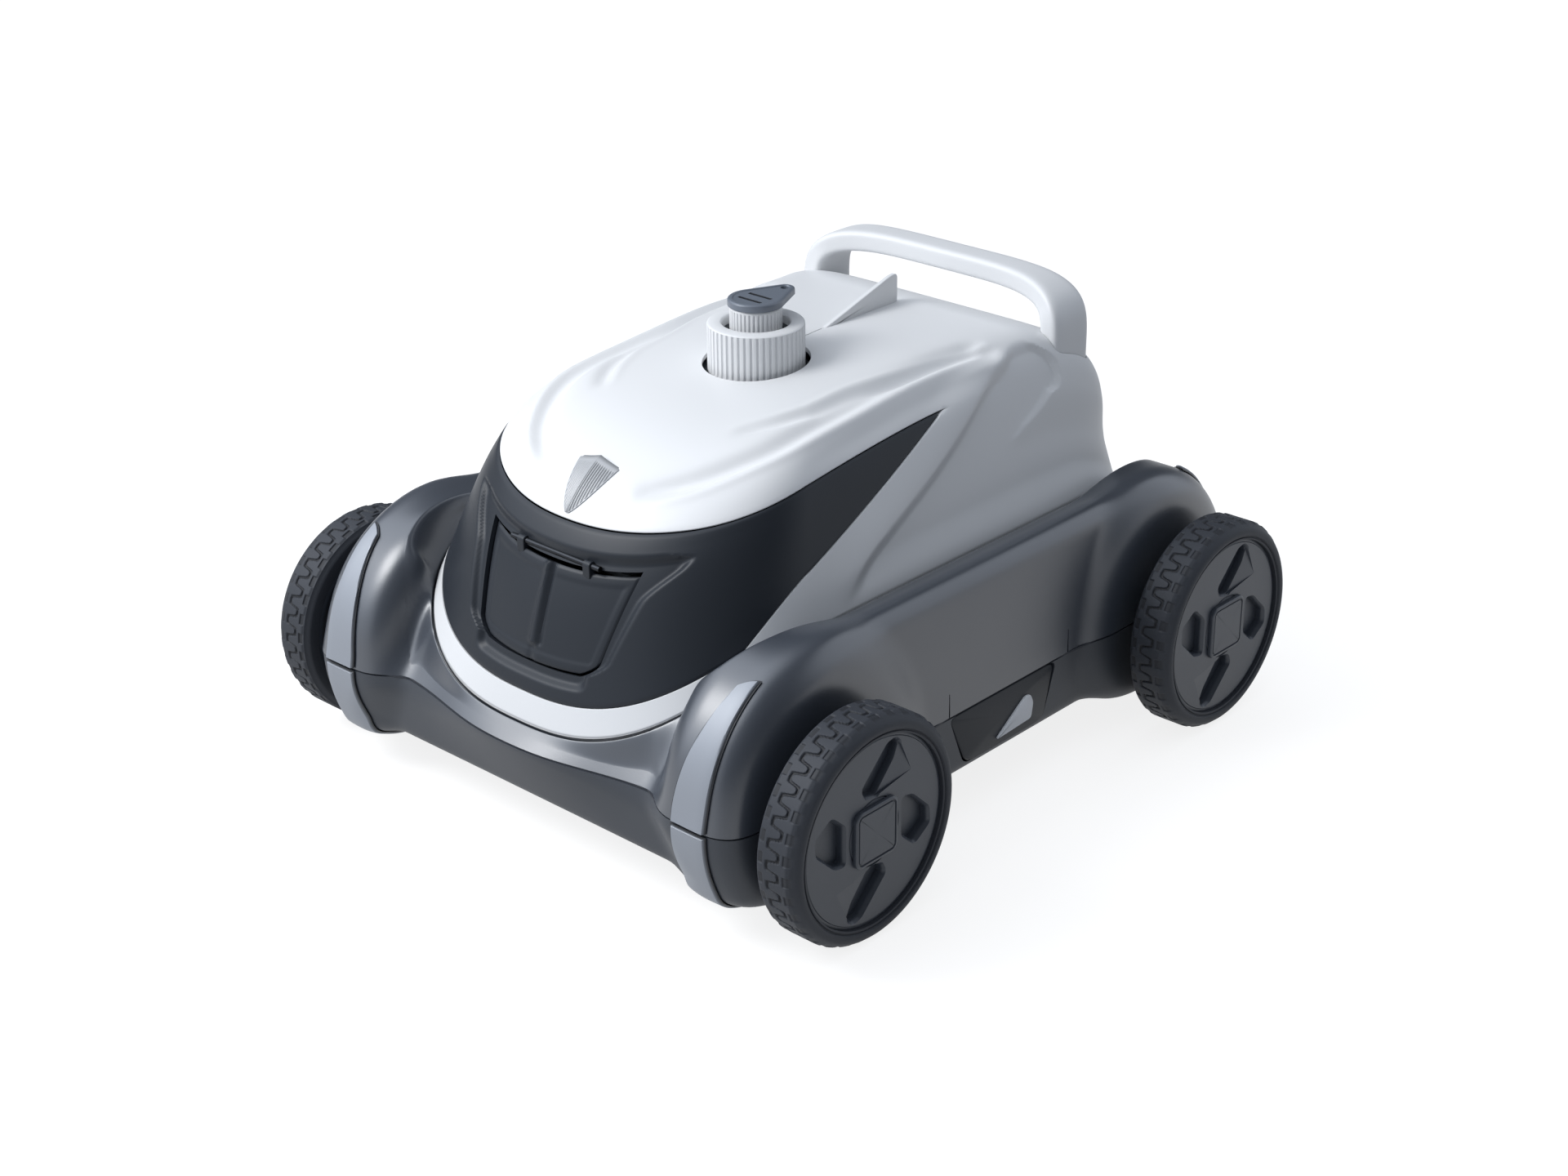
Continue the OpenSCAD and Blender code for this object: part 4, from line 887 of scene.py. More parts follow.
def settled(p, turns=30):
    """Grid evened out by quarter-half-quarter means over its wrapped columns and inner rows, then laid
    back on the hull by three Newton steps p - f g / (g.g)."""
    q, e = p.copy(), 0.02
    for _ in range(turns):
        q[1:-1] = (np.roll(q, 1, 1) + 2 * q + np.roll(q, -1, 1))[1:-1] / 4
        q[1:-1] = (q[:-2] + 2 * q[1:-1] + q[2:]) / 4
    for _ in range(3):
        f = hull_field(*np.moveaxis(q, -1, 0))
        g = np.stack([hull_field(*np.moveaxis(q + e * axis, -1, 0)) - f for axis in np.eye(3)], -1) / e
        q[1:-1] -= (g * (f / (g ** 2).sum(-1))[..., None])[1:-1]
    q[1:, :, 2] = np.maximum(q[1:, :, 2], p[0, 0, 2])
    return q


def shore_relief(u, out):
    """Rail along the flanks with a groove outside it, and a groove at the foot, over the distance from
    the foot; and painted shade along both grooves."""
    along = ease((from_nose(u) - 0.8) / 0.25)
    rail = 0.5 * ease((out - 0.6) / 0.5) * ease((4.6 - out) / 0.5) - 1.8 * bell((out - 5.2) / 0.6)
    # painted shade: dark lines along the rail groove and the groove at the foot
    dark = np.maximum(bell((out - 5.2) / 0.7) * along, bell(out / 0.6))
    return rail * along - 1.6 * bell(out / 0.55), dark


def upper_hull_skin(cols=600):
    """Upper hull: fan from the seam to the shore round the cover, a ledge under the cover foot, and the
    wall inside, 3.2 mm along the gradient of the field."""
    u = half_mirrored(even_columns(0, 3, cols // 2 + 1, 0.0))[None]
    t = np.linspace(0, 1, 58)[:, None]
    fan = settled(fan_point(u + 0 * t, foot_angle(u) * t, 9 * (1 - t)))
    share = np.linspace(1, 0.0, 34)[1:, None]
    shore = shore_point(u + 0 * share, share)
    lift, dark = shore_relief(u, share * shore_width(u))
    shore[..., 2] += lift
    g = FOOT_GAP
    ledge = [foot(u, grow, dz) for grow, dz in ((g, 0), (g, -2), (-6, -2), (-6, -5), (1, -5.5))]
    under = [shore_point(u, np.array([[k]])) - np.array([0, 0, 7 - 3 * k]) for k in (0.5, 0.9)]
    back = fan[::-6]
    inner = back - HULL_WALL * hull_slope(back)
    level = hull_slope(fan[:1]) * np.array([1, 1, 0])
    last = fan[:1] - HULL_WALL * level / np.linalg.norm(level, axis=-1, keepdims=True)
    inner[..., 2] = np.maximum(inner[..., 2], SEAM_Z + SEAM_GAP)
    last[..., 2] = SEAM_Z + SEAM_GAP
    skin = Skin()
    pts = np.concatenate([fan, shore] + ledge + under + [inner[:-1], last, fan[:1]])
    # the shore rows carry the painted shade of both grooves
    mark = np.zeros(pts.shape[:2])
    mark[len(fan):len(fan) + len(shore)] = dark
    skin.sheet(pts, mark, True)
    slits = []
    for side in (-1, 1):
        for y in SLIT_Y:
            slit = Skin()
            ring = np.array([[y - 0.6, 60], [y + 0.6, 60], [y + 0.25, 80], [y - 0.25, 80]])
            rings = stack(ring, [(151.4, 0), (156, 0)]) * np.array([side, 1, 1])
            slit.tube(rings if side > 0 else rings[::-1])
            slits.append(slit)
    return carve(skin.piece("upper_hull_skin", 40), slits, 40)


SLIT_Y = (-46.0, 55.0)
FLOOR_Z = BELLY_Z + HULL_WALL
SEAT_X, SEAT_Y = 59.1, 33.1


def lower_hull_skin(cols=600):
    """Lower hull: flat belly, rounded sides up to the seam, and the wall inside."""
    u = half_mirrored(even_columns(0, 3, cols // 2 + 1, 0.0))[None]
    angle = np.linspace(-80, 0, 46)[:, None]
    outer = hull_point(u + 0 * angle, angle, -SEAM_GAP)
    mid = spine(u)
    belly = [mid * np.array([k, k, 0]) + np.array([0, 0, BELLY_Z]) for k in (0, 0.5, 1.0)]
    floor = [mid * np.array([k, k, 0]) + np.array([0, 0, FLOOR_Z]) for k in (1.0, 0.5, 0)]
    back = outer[::-5]
    inner = back - HULL_WALL * hull_slope(back)
    inner[0, :, 2] = SEAM_Z - SEAM_GAP
    inner[..., 2] = np.maximum(inner[..., 2], FLOOR_Z)
    skin = Skin()
    skin.sheet(np.concatenate(belly + [outer, inner] + floor), wrap=True)
    seat = Skin()
    corners = np.array([[-SEAT_X, -SEAT_Y], [SEAT_X, -SEAT_Y], [SEAT_X, SEAT_Y], [-SEAT_X, SEAT_Y]])
    seat.tube(stack(corners, [(20, 0), (40, 0)], "z"))
    cutters = [seat]
    for side in (-1, 1):
        window = Skin()
        rings = stack(rounded(latch_corners(0.9), LATCH_R), [(146.2, 0), (160, 0)])
        window.tube(rings if side > 0 else (rings * np.array([-1, 1, 1]))[::-1])
        cutters.append(window)
    return carve(skin.piece("lower_hull_skin", 40), cutters, 40)


LATCH_LOW, LATCH_HIGH, LATCH_R = 33.5, 64.6, 5.5


def latch_corners(grow):
    """Trapezoid of a side latch as (y, z), grown outwards."""
    return [(-30 - grow, LATCH_LOW - grow), (36 + grow, LATCH_LOW - grow),
            (44 + grow, LATCH_HIGH + grow), (-45 - grow, LATCH_HIGH + grow)]


# ---------------------------------------------------------------- strips, lens, handle, controls
STRIP_X = (118.7, 141.8)
STRIP_BASE, STRIP_TOP = 0.6, 2.1
STRIP_SEAM = math.degrees(math.asin((SEAM_Z - AXLE_Z + 0.3) / 62))


def strip_rows(angles, upper, lift, cols=33):
    """Points of a corner strip and its rim, painted dark as the shade of the groove round it: rays from the
    front axle line to the hull, over a width that tapers to the top by 13 t^1.3."""
    a = np.radians(angles)[:, None]
    taper = 13 * (np.maximum(angles - 12, 0) / 60) ** 1.3 if upper else 0 * angles
    near = np.array([0, 0.02, 0.04, 0.06])
    j = np.concatenate([near, np.linspace(0.09, 0.91, cols - 8), 1 - near[::-1]])[None]
    x = (STRIP_X[0] + taper)[:, None] * (1 - j) + STRIP_X[1] * j
    if upper:
        a = a - np.radians(5.5) * (1 - j) ** 1.5 * ease((a - 0.5) / 0.7)
    o = np.stack([x, 0 * x - AXLE_Y, 0 * x + AXLE_Z], -1)
    d = np.stack([0 * x, -np.cos(a) + 0 * x, np.sin(a) + 0 * x], -1)
    edge = np.minimum(j, 1 - j) * (STRIP_X[1] - STRIP_X[0] - taper)[:, None]
    ends = (angles[-1] - angles[:, None]) * 1.1 + 0 * j
    rim = 1 - ease((np.minimum(edge, ends) - 0.7) / 0.5)
    sunk = 1.2 * rim if lift == STRIP_TOP else 0 * rim
    return cast(o, d, 104) + d * (lift - sunk)[..., None], rim


def corner_strips(upper):
    """Four strips that wrap the hull corners, each with a rim sunk by 1.2 mm and painted dark as groove
    shade.
    """
    lo, hi = (STRIP_SEAM + 0.6, 71.6) if upper else (-58, STRIP_SEAM - 1)
    angles = np.concatenate([[lo, lo + 0.4], np.linspace(lo + 1, hi - 1.5, 60),
                             np.linspace(hi - 1.2, hi, 6)])
    top, rim = strip_rows(angles, upper, STRIP_TOP)
    base, _ = strip_rows(angles, upper, STRIP_BASE)
    skin = Skin()
    for sx in (1, -1):
        for sy in (1, -1):
            k = np.array([sx, sy, 1])
            # the rim's value is painted shade of the groove round each strip
            a, b, dark = top * k, base * k, rim
            if sx * sy < 0:
                a, b, dark = a[:, ::-1], b[:, ::-1], rim[:, ::-1]
            skin.shell(a, b, dark)
    name = "upper_corner_strips" if upper else "lower_corner_strips"
    obj = skin.piece(name + "_skin", 40)
    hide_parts(name)
    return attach(obj, "chassis")


LENS_LOW, LENS_TALL = 0.772, 0.14


def status_lens(rows=60, cols=241):
    """Shield of two facets: half width 18.5 ((h - 0.767)/0.143)^0.62, a raised middle ridge, fine ribs
    cos(2 pi x / 1.7) on the facets and a soft rim. Painted shade darkens the rib grooves, more on the
    right facet, which faces away from the light, and the rim."""
    h = np.linspace(LENS_LOW, LENS_LOW + LENS_TALL, rows)[:, None]
    j = np.linspace(-1, 1, cols)[None]
    up = (h - LENS_LOW) / LENS_TALL
    wide = 18.5 * ((h - 0.767) / 0.143) ** 0.62
    x, side = wide * j, 1 - np.abs(j)
    hh = LENS_LOW + up * (0.905 + 0.007 * side - LENS_LOW)
    u = column_at(x, hh)
    p, n = cover_point(u, hh), cover_normal(u, hh)
    inset = np.minimum(np.minimum(side * wide, (1 - up) * 13), 6)
    ridge = 3.4 * side * (0.25 + 0.75 * up)
    lines = 0.5 - 0.5 * np.cos(2 * np.pi * x / 1.7)
    lines = lines * ease((inset - 1.0) / 0.5) * ease((np.abs(x) - 0.7) / 0.5)
    outer = p + n * (ridge - 0.2 * lines + 0.9 * ease(inset / 0.8) - 0.5)[..., None]
    # painted shade: the rib grooves, darker on the right facet, and a dark outline round the rim
    dark = np.maximum(lines * np.where(j > 0, 0.85, 0.35), 0.8 * (1 - ease(inset / 0.5)))
    skin = Skin()
    skin.shell(outer, p - n * 3.0, dark)
    obj = skin.piece("status_lens", 25)
    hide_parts("indicator_lens")
    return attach(obj, "chassis")


def handle_hoop(stations=200):
    """Handle: sections (superellipses) carried along x = 87 cos^0.4, z = 200 + 36.75 sin^0.4, at even
    distances; the section goes from the foot's 31 x 13 mm to the bar's 19 x 12.5 mm."""
    a = np.linspace(0, np.pi / 2, 20001)
    x, z = HANDLE_X * np.cos(a) ** 0.4, ARCH_Z + (BAR_Z - ARCH_Z) * np.sin(a) ** 0.4
    s = np.concatenate([[0], np.cumsum(np.hypot(np.diff(x), np.diff(z)))])
    at = np.linspace(0, s[-1], stations // 2)
    a, x, z = np.interp(at, s, a), np.interp(at, s, x), np.interp(at, s, z)
    for _ in range(3):
        x[1:-1] = (x[:-2] + 2 * x[1:-1] + x[2:]) / 4
        z[1:-1] = (z[:-2] + 2 * z[1:-1] + z[2:]) / 4
    tx, tz = np.gradient(x), np.gradient(z)
    size = np.hypot(tx, tz)
    tx, tz = tx / size, tz / size
    tx[0], tz[0], tx[-1], tz[-1] = 0, 1, -1, 0
    k = np.abs(np.cos(a)) ** 1.5
    rings, o = [], handle_outline(POST_T, FOOT_W)
    for z0 in (HANDLE_FOOT_Z, HANDLE_FOOT_Z + 11, ARCH_Z - 6):
        rings.append(np.stack([HANDLE_X + o[:, 0], HANDLE_Y + o[:, 1], np.full(len(o), z0)], -1))
    for i in range(len(a)):
        o = handle_outline(BAR_T + (POST_T - BAR_T) * k[i], BAR_W + (FOOT_W - BAR_W) * k[i])
        y = HANDLE_Y + 7 * (1 - k[i])
        rings.append(np.stack([x[i] + o[:, 0] * tz[i], y + o[:, 1], z[i] - o[:, 0] * tx[i]], -1))
    half = np.stack(rings)
    skin = Skin()
    skin.tube(np.concatenate([half, half[-2::-1] * np.array([-1, 1, 1])]))
    obj = skin.piece("handle_hoop", 50)
    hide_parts("carry_handle")
    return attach(obj, "chassis")


def deck_keel():
    """Thin upright keel behind the controls: a flat outline with rounded corners and softened edges."""
    o = rounded([(13, 217), (90, 217), (90, 238.5), (84, 238.2)], 3, 8)
    skin = Skin()
    half = [(1.0, 0), (1.35, -0.25), (1.5, -0.7)]
    skin.tube(stack(o, [(-x, d) for x, d in half[::-1]] + half))
    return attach(skin.piece("deck_keel"), "chassis")


CONTROL_AT = (0.0, CONTROL_Y)
RING_R, KNURLS = 26, 48
KNOB_R, FLUTES = 14, 18
CAP_R, TIP_R, TIP_Y = 15.0, 5.5, 22.5
BAR_DEEP = 0.75


def control_piece(name, profile, steps, ripple, share):
    """Closed profile spun round the control axis; painted shade in its grooves is a share of the ripple."""
    around, rows = np.arange(steps)[None] * 2 * np.pi / steps, np.arange(len(profile))[:, None]
    skin = Skin()
    # painted shade: the grooves darken with their depth
    skin.sheet(turned(profile, steps, CONTROL_AT, ripple=ripple), -share * ripple(around, rows), True)
    return skin.piece(name, 35)


def locking_ring():
    """Ring with 48 knurls: the radius drops by 0.9 mm, as a smooth step, where a triangle wave is high."""
    z0, z1 = (float(v[2]) for v in node_box("locking_ring"))
    zs = np.concatenate([np.linspace(z0, z0 + 6, 6)[1:], np.linspace(z0 + 6.4, z1 - 3.2, 30), [z1 - 2.6]])
    profile = np.array([(18.2, z0 + 0.3), (25.6, z0)] + [(RING_R, z) for z in zs]
                       + [(26, z1 - 1.6), (25.9, z1 - 0.9), (25.5, z1 - 0.5), (24.8, z1 - 0.25),
                          (22, z1 - 0.05), (19.2, z1), (18.7, z1 - 0.2), (18.3, z1 - 0.8),
                          (18.2, z1 - 2), (18.2, z0 + 0.3)])
    r, z = profile.T
    knurl = ease((z - z0 - 1.0) / 0.8) * ease((z1 - 1.0 - z) / 0.8) * (r > 25)

    def grip(a, row):
        """Depth of the knurls below the ring."""
        wave = np.abs(((a * KNURLS / (2 * np.pi)) % 1) - 0.5) * 2
        return -0.9 * ease((wave - 0.45) / 0.4) * knurl[row]

    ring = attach(control_piece("locking_ring_skin", profile, KNURLS * 16, grip, 0.45), "locking_ring")
    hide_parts("locking_ring")
    return ring


def fluted_knob():
    """Knob with 36 flutes: the radius drops by 0.8 exp(-(sin(18 a)/0.5)^2) mm."""
    k0, k1 = (float(v[2]) for v in node_box("power_knob"))
    profile = np.array([(0.01, k0), (4, k0), (4, k0 + 9.1), (KNOB_R, k0 + 9.2)]
                       + [(KNOB_R, z) for z in np.linspace(k0 + 10, k1 - 2.4, 30)]
                       + [(14, k1 - 1.6), (13.9, k1 - 0.8), (13.4, k1 - 0.2), (12.6, k1), (0.01, k1)])
    r, z = profile.T
    groove = ease((z - k0 - 17) / 1) * ease((k1 - 1.8 - z) / 0.8) * (r > 13.6)

    def flute(a, row):
        """Depth of the flutes below the knob."""
        return -0.8 * bell(np.sin(a * FLUTES) / 0.5) * groove[row]

    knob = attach(control_piece("knob_skin", profile, FLUTES * 32, flute, 0.6), "power_knob")
    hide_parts("power_knob")
    return knob


def teardrop_cap():
    """Cap of two arcs, 15 mm and 5.5 mm, joined by straight sides, with an eye through its tip and two
    bars sunk into its top. The floors of the bars are marked by their level."""
    c0, c1 = (float(v[2]) for v in node_box("knob_cap"))
    lean = math.degrees(math.asin((CAP_R - TIP_R) / TIP_Y))
    body = np.radians(np.linspace(180 - lean, 360 + lean, 120))
    tip = np.radians(np.linspace(lean, 180 - lean, 40))
    o = np.concatenate([np.stack([CAP_R * np.cos(body), CAP_R * np.sin(body)], -1),
                        np.stack([TIP_R * np.cos(tip), TIP_Y + TIP_R * np.sin(tip)], -1)])
    skin = Skin()
    skin.tube(stack(o + np.array(CONTROL_AT), [
        (c0, -0.3), (c0 + 0.3, 0), (c1 - 1.2, 0), (c1 - 0.6, -0.18), (c1 - 0.2, -0.6), (c1, -1.3), (c1, -2.6),
        (c1 - 0.45, -3.0)], "z"))
    eye = Skin()
    eye.tube(turned([(2.2, c0 - 2), (2.2, c1 + 2)], 64, (0, CONTROL_Y + TIP_Y)))
    cuts, floor = [eye], c1 - BAR_DEEP
    for low, high in ((-29.6, -27.2), (-21.6, -19.2)):
        bar = Skin()
        o = rounded([(-8, low), (8, low), (8, high), (-8, high)], 0.5)
        bar.tube(stack(o, [(floor, 0), (c1 + 2, 0)], "z"))
        cuts.append(bar)
    cap = carve(skin.piece("cap_skin", 30), cuts, 30)
    at = np.empty(len(cap.data.vertices) * 3)
    cap.data.vertices.foreach_get("co", at)
    mark = cap.data.attributes.get("mark") or cap.data.attributes.new("mark", "FLOAT", "POINT")
    mark.data.foreach_set("value", (np.abs(at[2::3] * 1000 - floor) < 0.01).astype(float))
    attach(cap, "power_knob")
    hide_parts("knob_cap")
    return cap


# ---------------------------------------------------------------- wheels, latches
WHEEL_IN, WHEEL_OUT, WEB = 167.4, 193.4, 190.8
TYRE_R, RIM_R, TYRE_STEPS = 60, 50.2, 1064
TREAD_IN, TREAD_MID, TREAD_OUT = 169.6, 179.6, 189.2
WAVES, WAVE_X, WAVE_SHARP = 34, 3.6, 1.9


def tyre_profile():
    """Half section of the tyre as (radius, x), with dense rows where the tread is cut; the tread sinks
    towards both edges as exp(-(d/w)^2)."""
    rows = [(RIM_R, WHEEL_IN), (52.5, WHEEL_IN), (55.6, WHEEL_IN), (56.3, 167.6), (57.2, 168.3),
            (58.2, 169.2)]
    for x in np.linspace(TREAD_IN, TREAD_OUT, 46):
        rows.append((TYRE_R - 0.9 * bell((x - TREAD_IN) / 0.9) - 0.6 * bell((x - TREAD_OUT) / 0.8), x))
    return rows + [(59.0, 189.9), (58.3, 190.7), (57.5, 191.6), (56.8, 192.4), (56.3, 192.8), (55.6, 193.1),
                   (54.6, 193.35), (53.8, WHEEL_OUT), (52.6, 193.15), (52.2, 192.6), (51.9, 192.0),
                   (51.5, 192.0), (51.2, 192.6), (50.7, 192.6), (RIM_R, 192.3)]


def tread(angle, x, depth):
    """Depth of the tread: a groove of even width along the meander tanh(1.9 sin(34 a)) / tanh(1.9), dashes
    along the inner edge and lugs at the outer."""
    phase, full = angle * WAVES, math.tanh(WAVE_SHARP)
    wave = np.tanh(WAVE_SHARP * np.sin(phase)) / full
    slope = WAVE_X * WAVE_SHARP * np.cos(phase) * WAVES / TYRE_R * (1 - (wave * full) ** 2)
    gap = np.abs(x - TREAD_MID - WAVE_X * wave) / np.sqrt(1 + slope ** 2)
    groove = ease((1.0 - gap) / 0.5)
    turn = phase / (2 * np.pi)
    dash = ease((0.30 - np.abs((turn % 1) - 0.5)) / 0.06) * ease((1.7 - np.abs(x - 171.9)) / 0.5)
    lug = ease((0.27 - np.abs(((turn + 0.25) % 1) - 0.5)) / 0.05) * ease((x - 185.6) / 0.6)
    return depth * np.maximum(np.maximum(groove, 0.8 * dash), 0.6 * lug * ease((WEB - x) / 1.5))


def tyre_mesh(depth):
    """Right tyre round an axle at y = 0, z = 0: its section spun, less the tread, whose grooves are painted
    dark as shade.
    """
    rows = tyre_profile()
    r_of, x_of = np.array(rows).T

    def ripple(a, row):
        """Depth of the tread below the tyre, on the rows outside its sides."""
        return -tread(a, x_of[row], depth) * (r_of[row] > 56.5)

    around = np.arange(TYRE_STEPS)[None] * 2 * np.pi / TYRE_STEPS
    # painted shade: the tread grooves darken with their depth
    sunk = -ripple(around, np.arange(len(rows))[:, None]) / depth
    skin = Skin()
    skin.sheet(turned(rows, TYRE_STEPS, axis="x", ripple=ripple), sunk, True)
    inner = [(RIM_R, 192.3), (RIM_R, 180), (RIM_R, WHEEL_IN)]
    skin.sheet(turned(inner, TYRE_STEPS, axis="x"), wrap=True)
    return skin.mesh("tyre", 40)


HUB_SECTION = [
    (47.2, 168.4), (50.1, 168.4), (50.2, 168.6), (50.2, 189.9), (50.0, 190.3), (49.6, 190.4), (48.6, 190.45),
    (48.2, WEB), (46, WEB), (30, WEB), (20.5, WEB), (18.2, WEB), (17.9, 190.2), (17.3, 190.2), (17.0, WEB),
    (9.6, WEB), (9.4, 190.6), (9.4, 185.9), (4.05, 185.9), (4.05, 168.6), (12, 168.6), (12, 184.6),
    (47.2, 184.6), (47.2, 168.4)]
HUB_SLOT = [(-8, 26), (-6, 21), (2, 19), (15, 33.5), (18.5, 41), (15, 44), (9.5, 43)]
HUB_WINDOW = [(21.5, -11), (30.5, -19), (41, -12.5), (40.5, -4.5), (28, 7.5), (21.5, 9)]


def hub_blank():
    """Right hub: its section spun, with two slots and two windows that flare outwards, and two ramps cut
    into the web, each pair half a turn apart."""
    skin = Skin()
    skin.sheet(turned(HUB_SECTION, 288, axis="x"), wrap=True)
    cutters = []
    for corners, radius in ((HUB_SLOT, 1.6), (HUB_WINDOW, 2.0)):
        o = rounded(corners, radius, 7)
        for turn in (1, -1):
            tool = Skin()
            tool.tube(stack(o * turn, [(185.2, 0), (188.2, 0), (188.8, 0.1), (189.6, 0.5), (191.2, 1.7),
                                       (192, 2.3)]))
            cutters.append(tool)
    for turn in (1, -1):
        ramp = np.array([[189.2, 17.5, 43], [WEB, 27, 23], [189.2, 1, 18.5]])
        rings = np.stack([ramp, np.concatenate([np.full((3, 1), 192.0), ramp[:, 1:] * 1.02], 1)])
        tool = Skin()
        tool.tube((rings * np.array([1, turn, turn]))[:, ::-1])
        cutters.append(tool)
    return carve(skin.piece("hub_blank", 30), cutters, 30)


def square_cap(half=15.5, cut=3):
    """Square axle cap with cut corners and a sunk middle."""
    a, b = half, half - cut
    o = rounded([(a, -b), (a, b), (b, a), (-b, a), (-a, b), (-a, -b), (-b, -a), (b, -a)], 2.2, 6)
    rings = stack(o, [(WEB, -0.2), (191.0, 0), (192.1, 0), (192.7, -0.2), (193.0, -0.6), (193.2, -1.2),
                      (193.2, -1.7), (192.5, -1.95), (192.5, -2.5), (193.1, -2.8), (193.1, -3.2)])
    middle = np.array([0, 0.6, 0.6]) * rings[-1:] + np.array([193.1, 0, 0])
    skin = Skin()
    skin.tube(np.concatenate([rings, middle]))
    return skin.mesh("cap", 30)


def wheels(depth):
    """Tyre, hub and cap of the four wheels; the left ones are the right ones turned half round."""
    tyre, hub, cap = tyre_mesh(depth), hub_blank(), square_cap()
    pieces = []
    for side, turn in (("right", 0), ("left", math.pi)):
        for end, y in (("front", -AXLE_Y), ("rear", AXLE_Y)):
            m = Matrix.Translation((0, y / 1000, AXLE_Z / 1000)) @ Matrix.Rotation(turn, 4, "Z")
            for me, part in ((tyre, "tyre"), (hub.data, "hub"), (cap, "cap")):
                obj = moved(me, m, "%s_skin_%s_%s" % (part, end, side))
                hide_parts("%s_%s_%s" % (part, end, side))
                pieces.append(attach(obj, "wheel_%s_%s" % (end, side)))
    bpy.data.objects.remove(hub)
    bpy.data.meshes.remove(tyre)
    bpy.data.meshes.remove(cap)
    return pieces


LATCH_TAB = [(-6, 37.5), (24, 39), (25.5, 48), (23, 53.5), (18.5, 54), (13, 50.5)]


def side_latches():
    """Trapezoid latch panels with a bevelled rim, and the pale sail-shaped tab on each."""
    panel = stack(rounded(latch_corners(0.0), LATCH_R, 8),
                  [(149.2, -0.2), (149.4, 0), (151.5, 0), (152.0, -0.35), (152.2, -1.0)])
    tab = stack(rounded(LATCH_TAB, 2.5, 8), [(152.2, 0), (153.0, 0), (153.3, -0.2), (153.4, -0.6)])
    pieces = []
    for name, side in (("right", 1), ("left", -1)):
        for part, rings in (("side_latch", panel), ("latch_tab", tab)):
            rings = rings * np.array([side, 1, 1])
            skin = Skin()
            skin.tube(rings if side > 0 else rings[::-1])
            pieces.append((skin.piece("%s_skin_%s" % (part, name), 25), part, name))
    return pieces


# ---------------------------------------------------------------- stage
CAMERA = {"azimuth": 42.60, "elevation": 25.13, "roll": -0.46, "lens": 57.9, "distance": 1.4491,
          "target": (-0.02551, 0.02389, 0.0600)}


def camera_axes(azimuth, elevation, roll):
    """Right, up and back axes of a camera at an azimuth and elevation, in degrees, rolled about its view."""
    az, el, r = (math.radians(v) for v in (azimuth, elevation, roll))
    back = Vector((math.sin(az) * math.cos(el), -math.cos(az) * math.cos(el), math.sin(el)))
    right = Vector((math.cos(az), math.sin(az), 0))
    up = back.cross(right)
    return right * math.cos(r) + up * math.sin(r), up * math.cos(r) - right * math.sin(r), back


def sun_lamp(name, toward, spread, strength):
    """Even lamp from a direction; a facing white surface gets this strength."""
    light = bpy.data.lights.new(name, "SUN")
    light.energy = strength * math.pi
    light.angle = math.radians(spread)
    obj = bpy.data.objects.new(name, light)
    bpy.context.scene.collection.objects.link(obj)
    d = Vector(toward).normalized()
    obj.location = d * 2
    obj.rotation_euler = d.to_track_quat("Z", "Y").to_euler()
    return obj


def near_lamp(name, at, target, size, strength):
    """Round lamp near the subject; a white surface at the target that faces it gets this strength."""
    light = bpy.data.lights.new(name, "AREA")
    light.shape, light.size = "DISK", size
    at, target = Vector(at), Vector(target)
    light.energy = strength * (math.pi * (at - target).length) ** 2
    obj = bpy.data.objects.new(name, light)
    bpy.context.scene.collection.objects.link(obj)
    obj.location = at
    obj.rotation_euler = (at - target).to_track_quat("Z", "Y").to_euler()
    return obj


def light_from(w, toward, near, far, low, high):
    """Light from one side: a smooth step from low to high as the cosine of the angle to a direction
    goes from near to far."""
    way = w.node("ShaderNodeTexCoord", output="Generated")
    cosine = w.node("ShaderNodeVectorMath", {"operation": "DOT_PRODUCT"}, {0: way, 1: toward}, "Value")
    return w.node("ShaderNodeMapRange", {"interpolation_type": "SMOOTHSTEP"}, {
        "Value": cosine, "From Min": near, "From Max": far, "To Min": low, "To Max": high})


# Bright patches as (direction, cosine at the rim, cosine at the core, share of the gloss light).
PATCHES = (((-0.55, -0.35, 0.76), 0.70, 0.88, 1.0), ((0.45, 0.80, 0.40), 0.74, 0.93, 0.6),
           ((-0.45, -0.88, 0.12), 0.78, 0.97, 0.5))


def surroundings(sizes):
    """World: white where it is seen directly, soft bright patches where it is mirrored, and elsewhere an
    even field, bright on one side."""
    w = Finish("surroundings", world=True)
    direct = w.node("ShaderNodeLightPath", output="Is Camera Ray").math(
        "MAXIMUM", w.node("ShaderNodeLightPath", output="Is Transmission Ray"))
    mirrored = w.node("ShaderNodeLightPath", output="Is Glossy Ray")
    field = light_from(w, (-0.62, -0.35, 0.70), -0.55, 0.95, sizes.shade, sizes.fill)
    patches = sum(light_from(w, Vector(toward).normalized(), near, far, 0.03, share * sizes.gloss)
                  for toward, near, far, share in PATCHES)
    level = w.blend(direct, w.blend(mirrored, field, patches), 1.0)
    tint = w.mix(direct, (0.90, 0.97, 1.08), (1, 1, 1))
    return w.finish(w.node("ShaderNodeBackground", None, {"Color": tint, "Strength": level}))


# ---------------------------------------------------------------- settings and operators
def colour(name, text, default):
    """Colour setting with a label, a description and a default."""
    return bpy.props.FloatVectorProperty(name=name, description=text, default=default, size=3, min=0,
                                         max=1, subtype="COLOR")


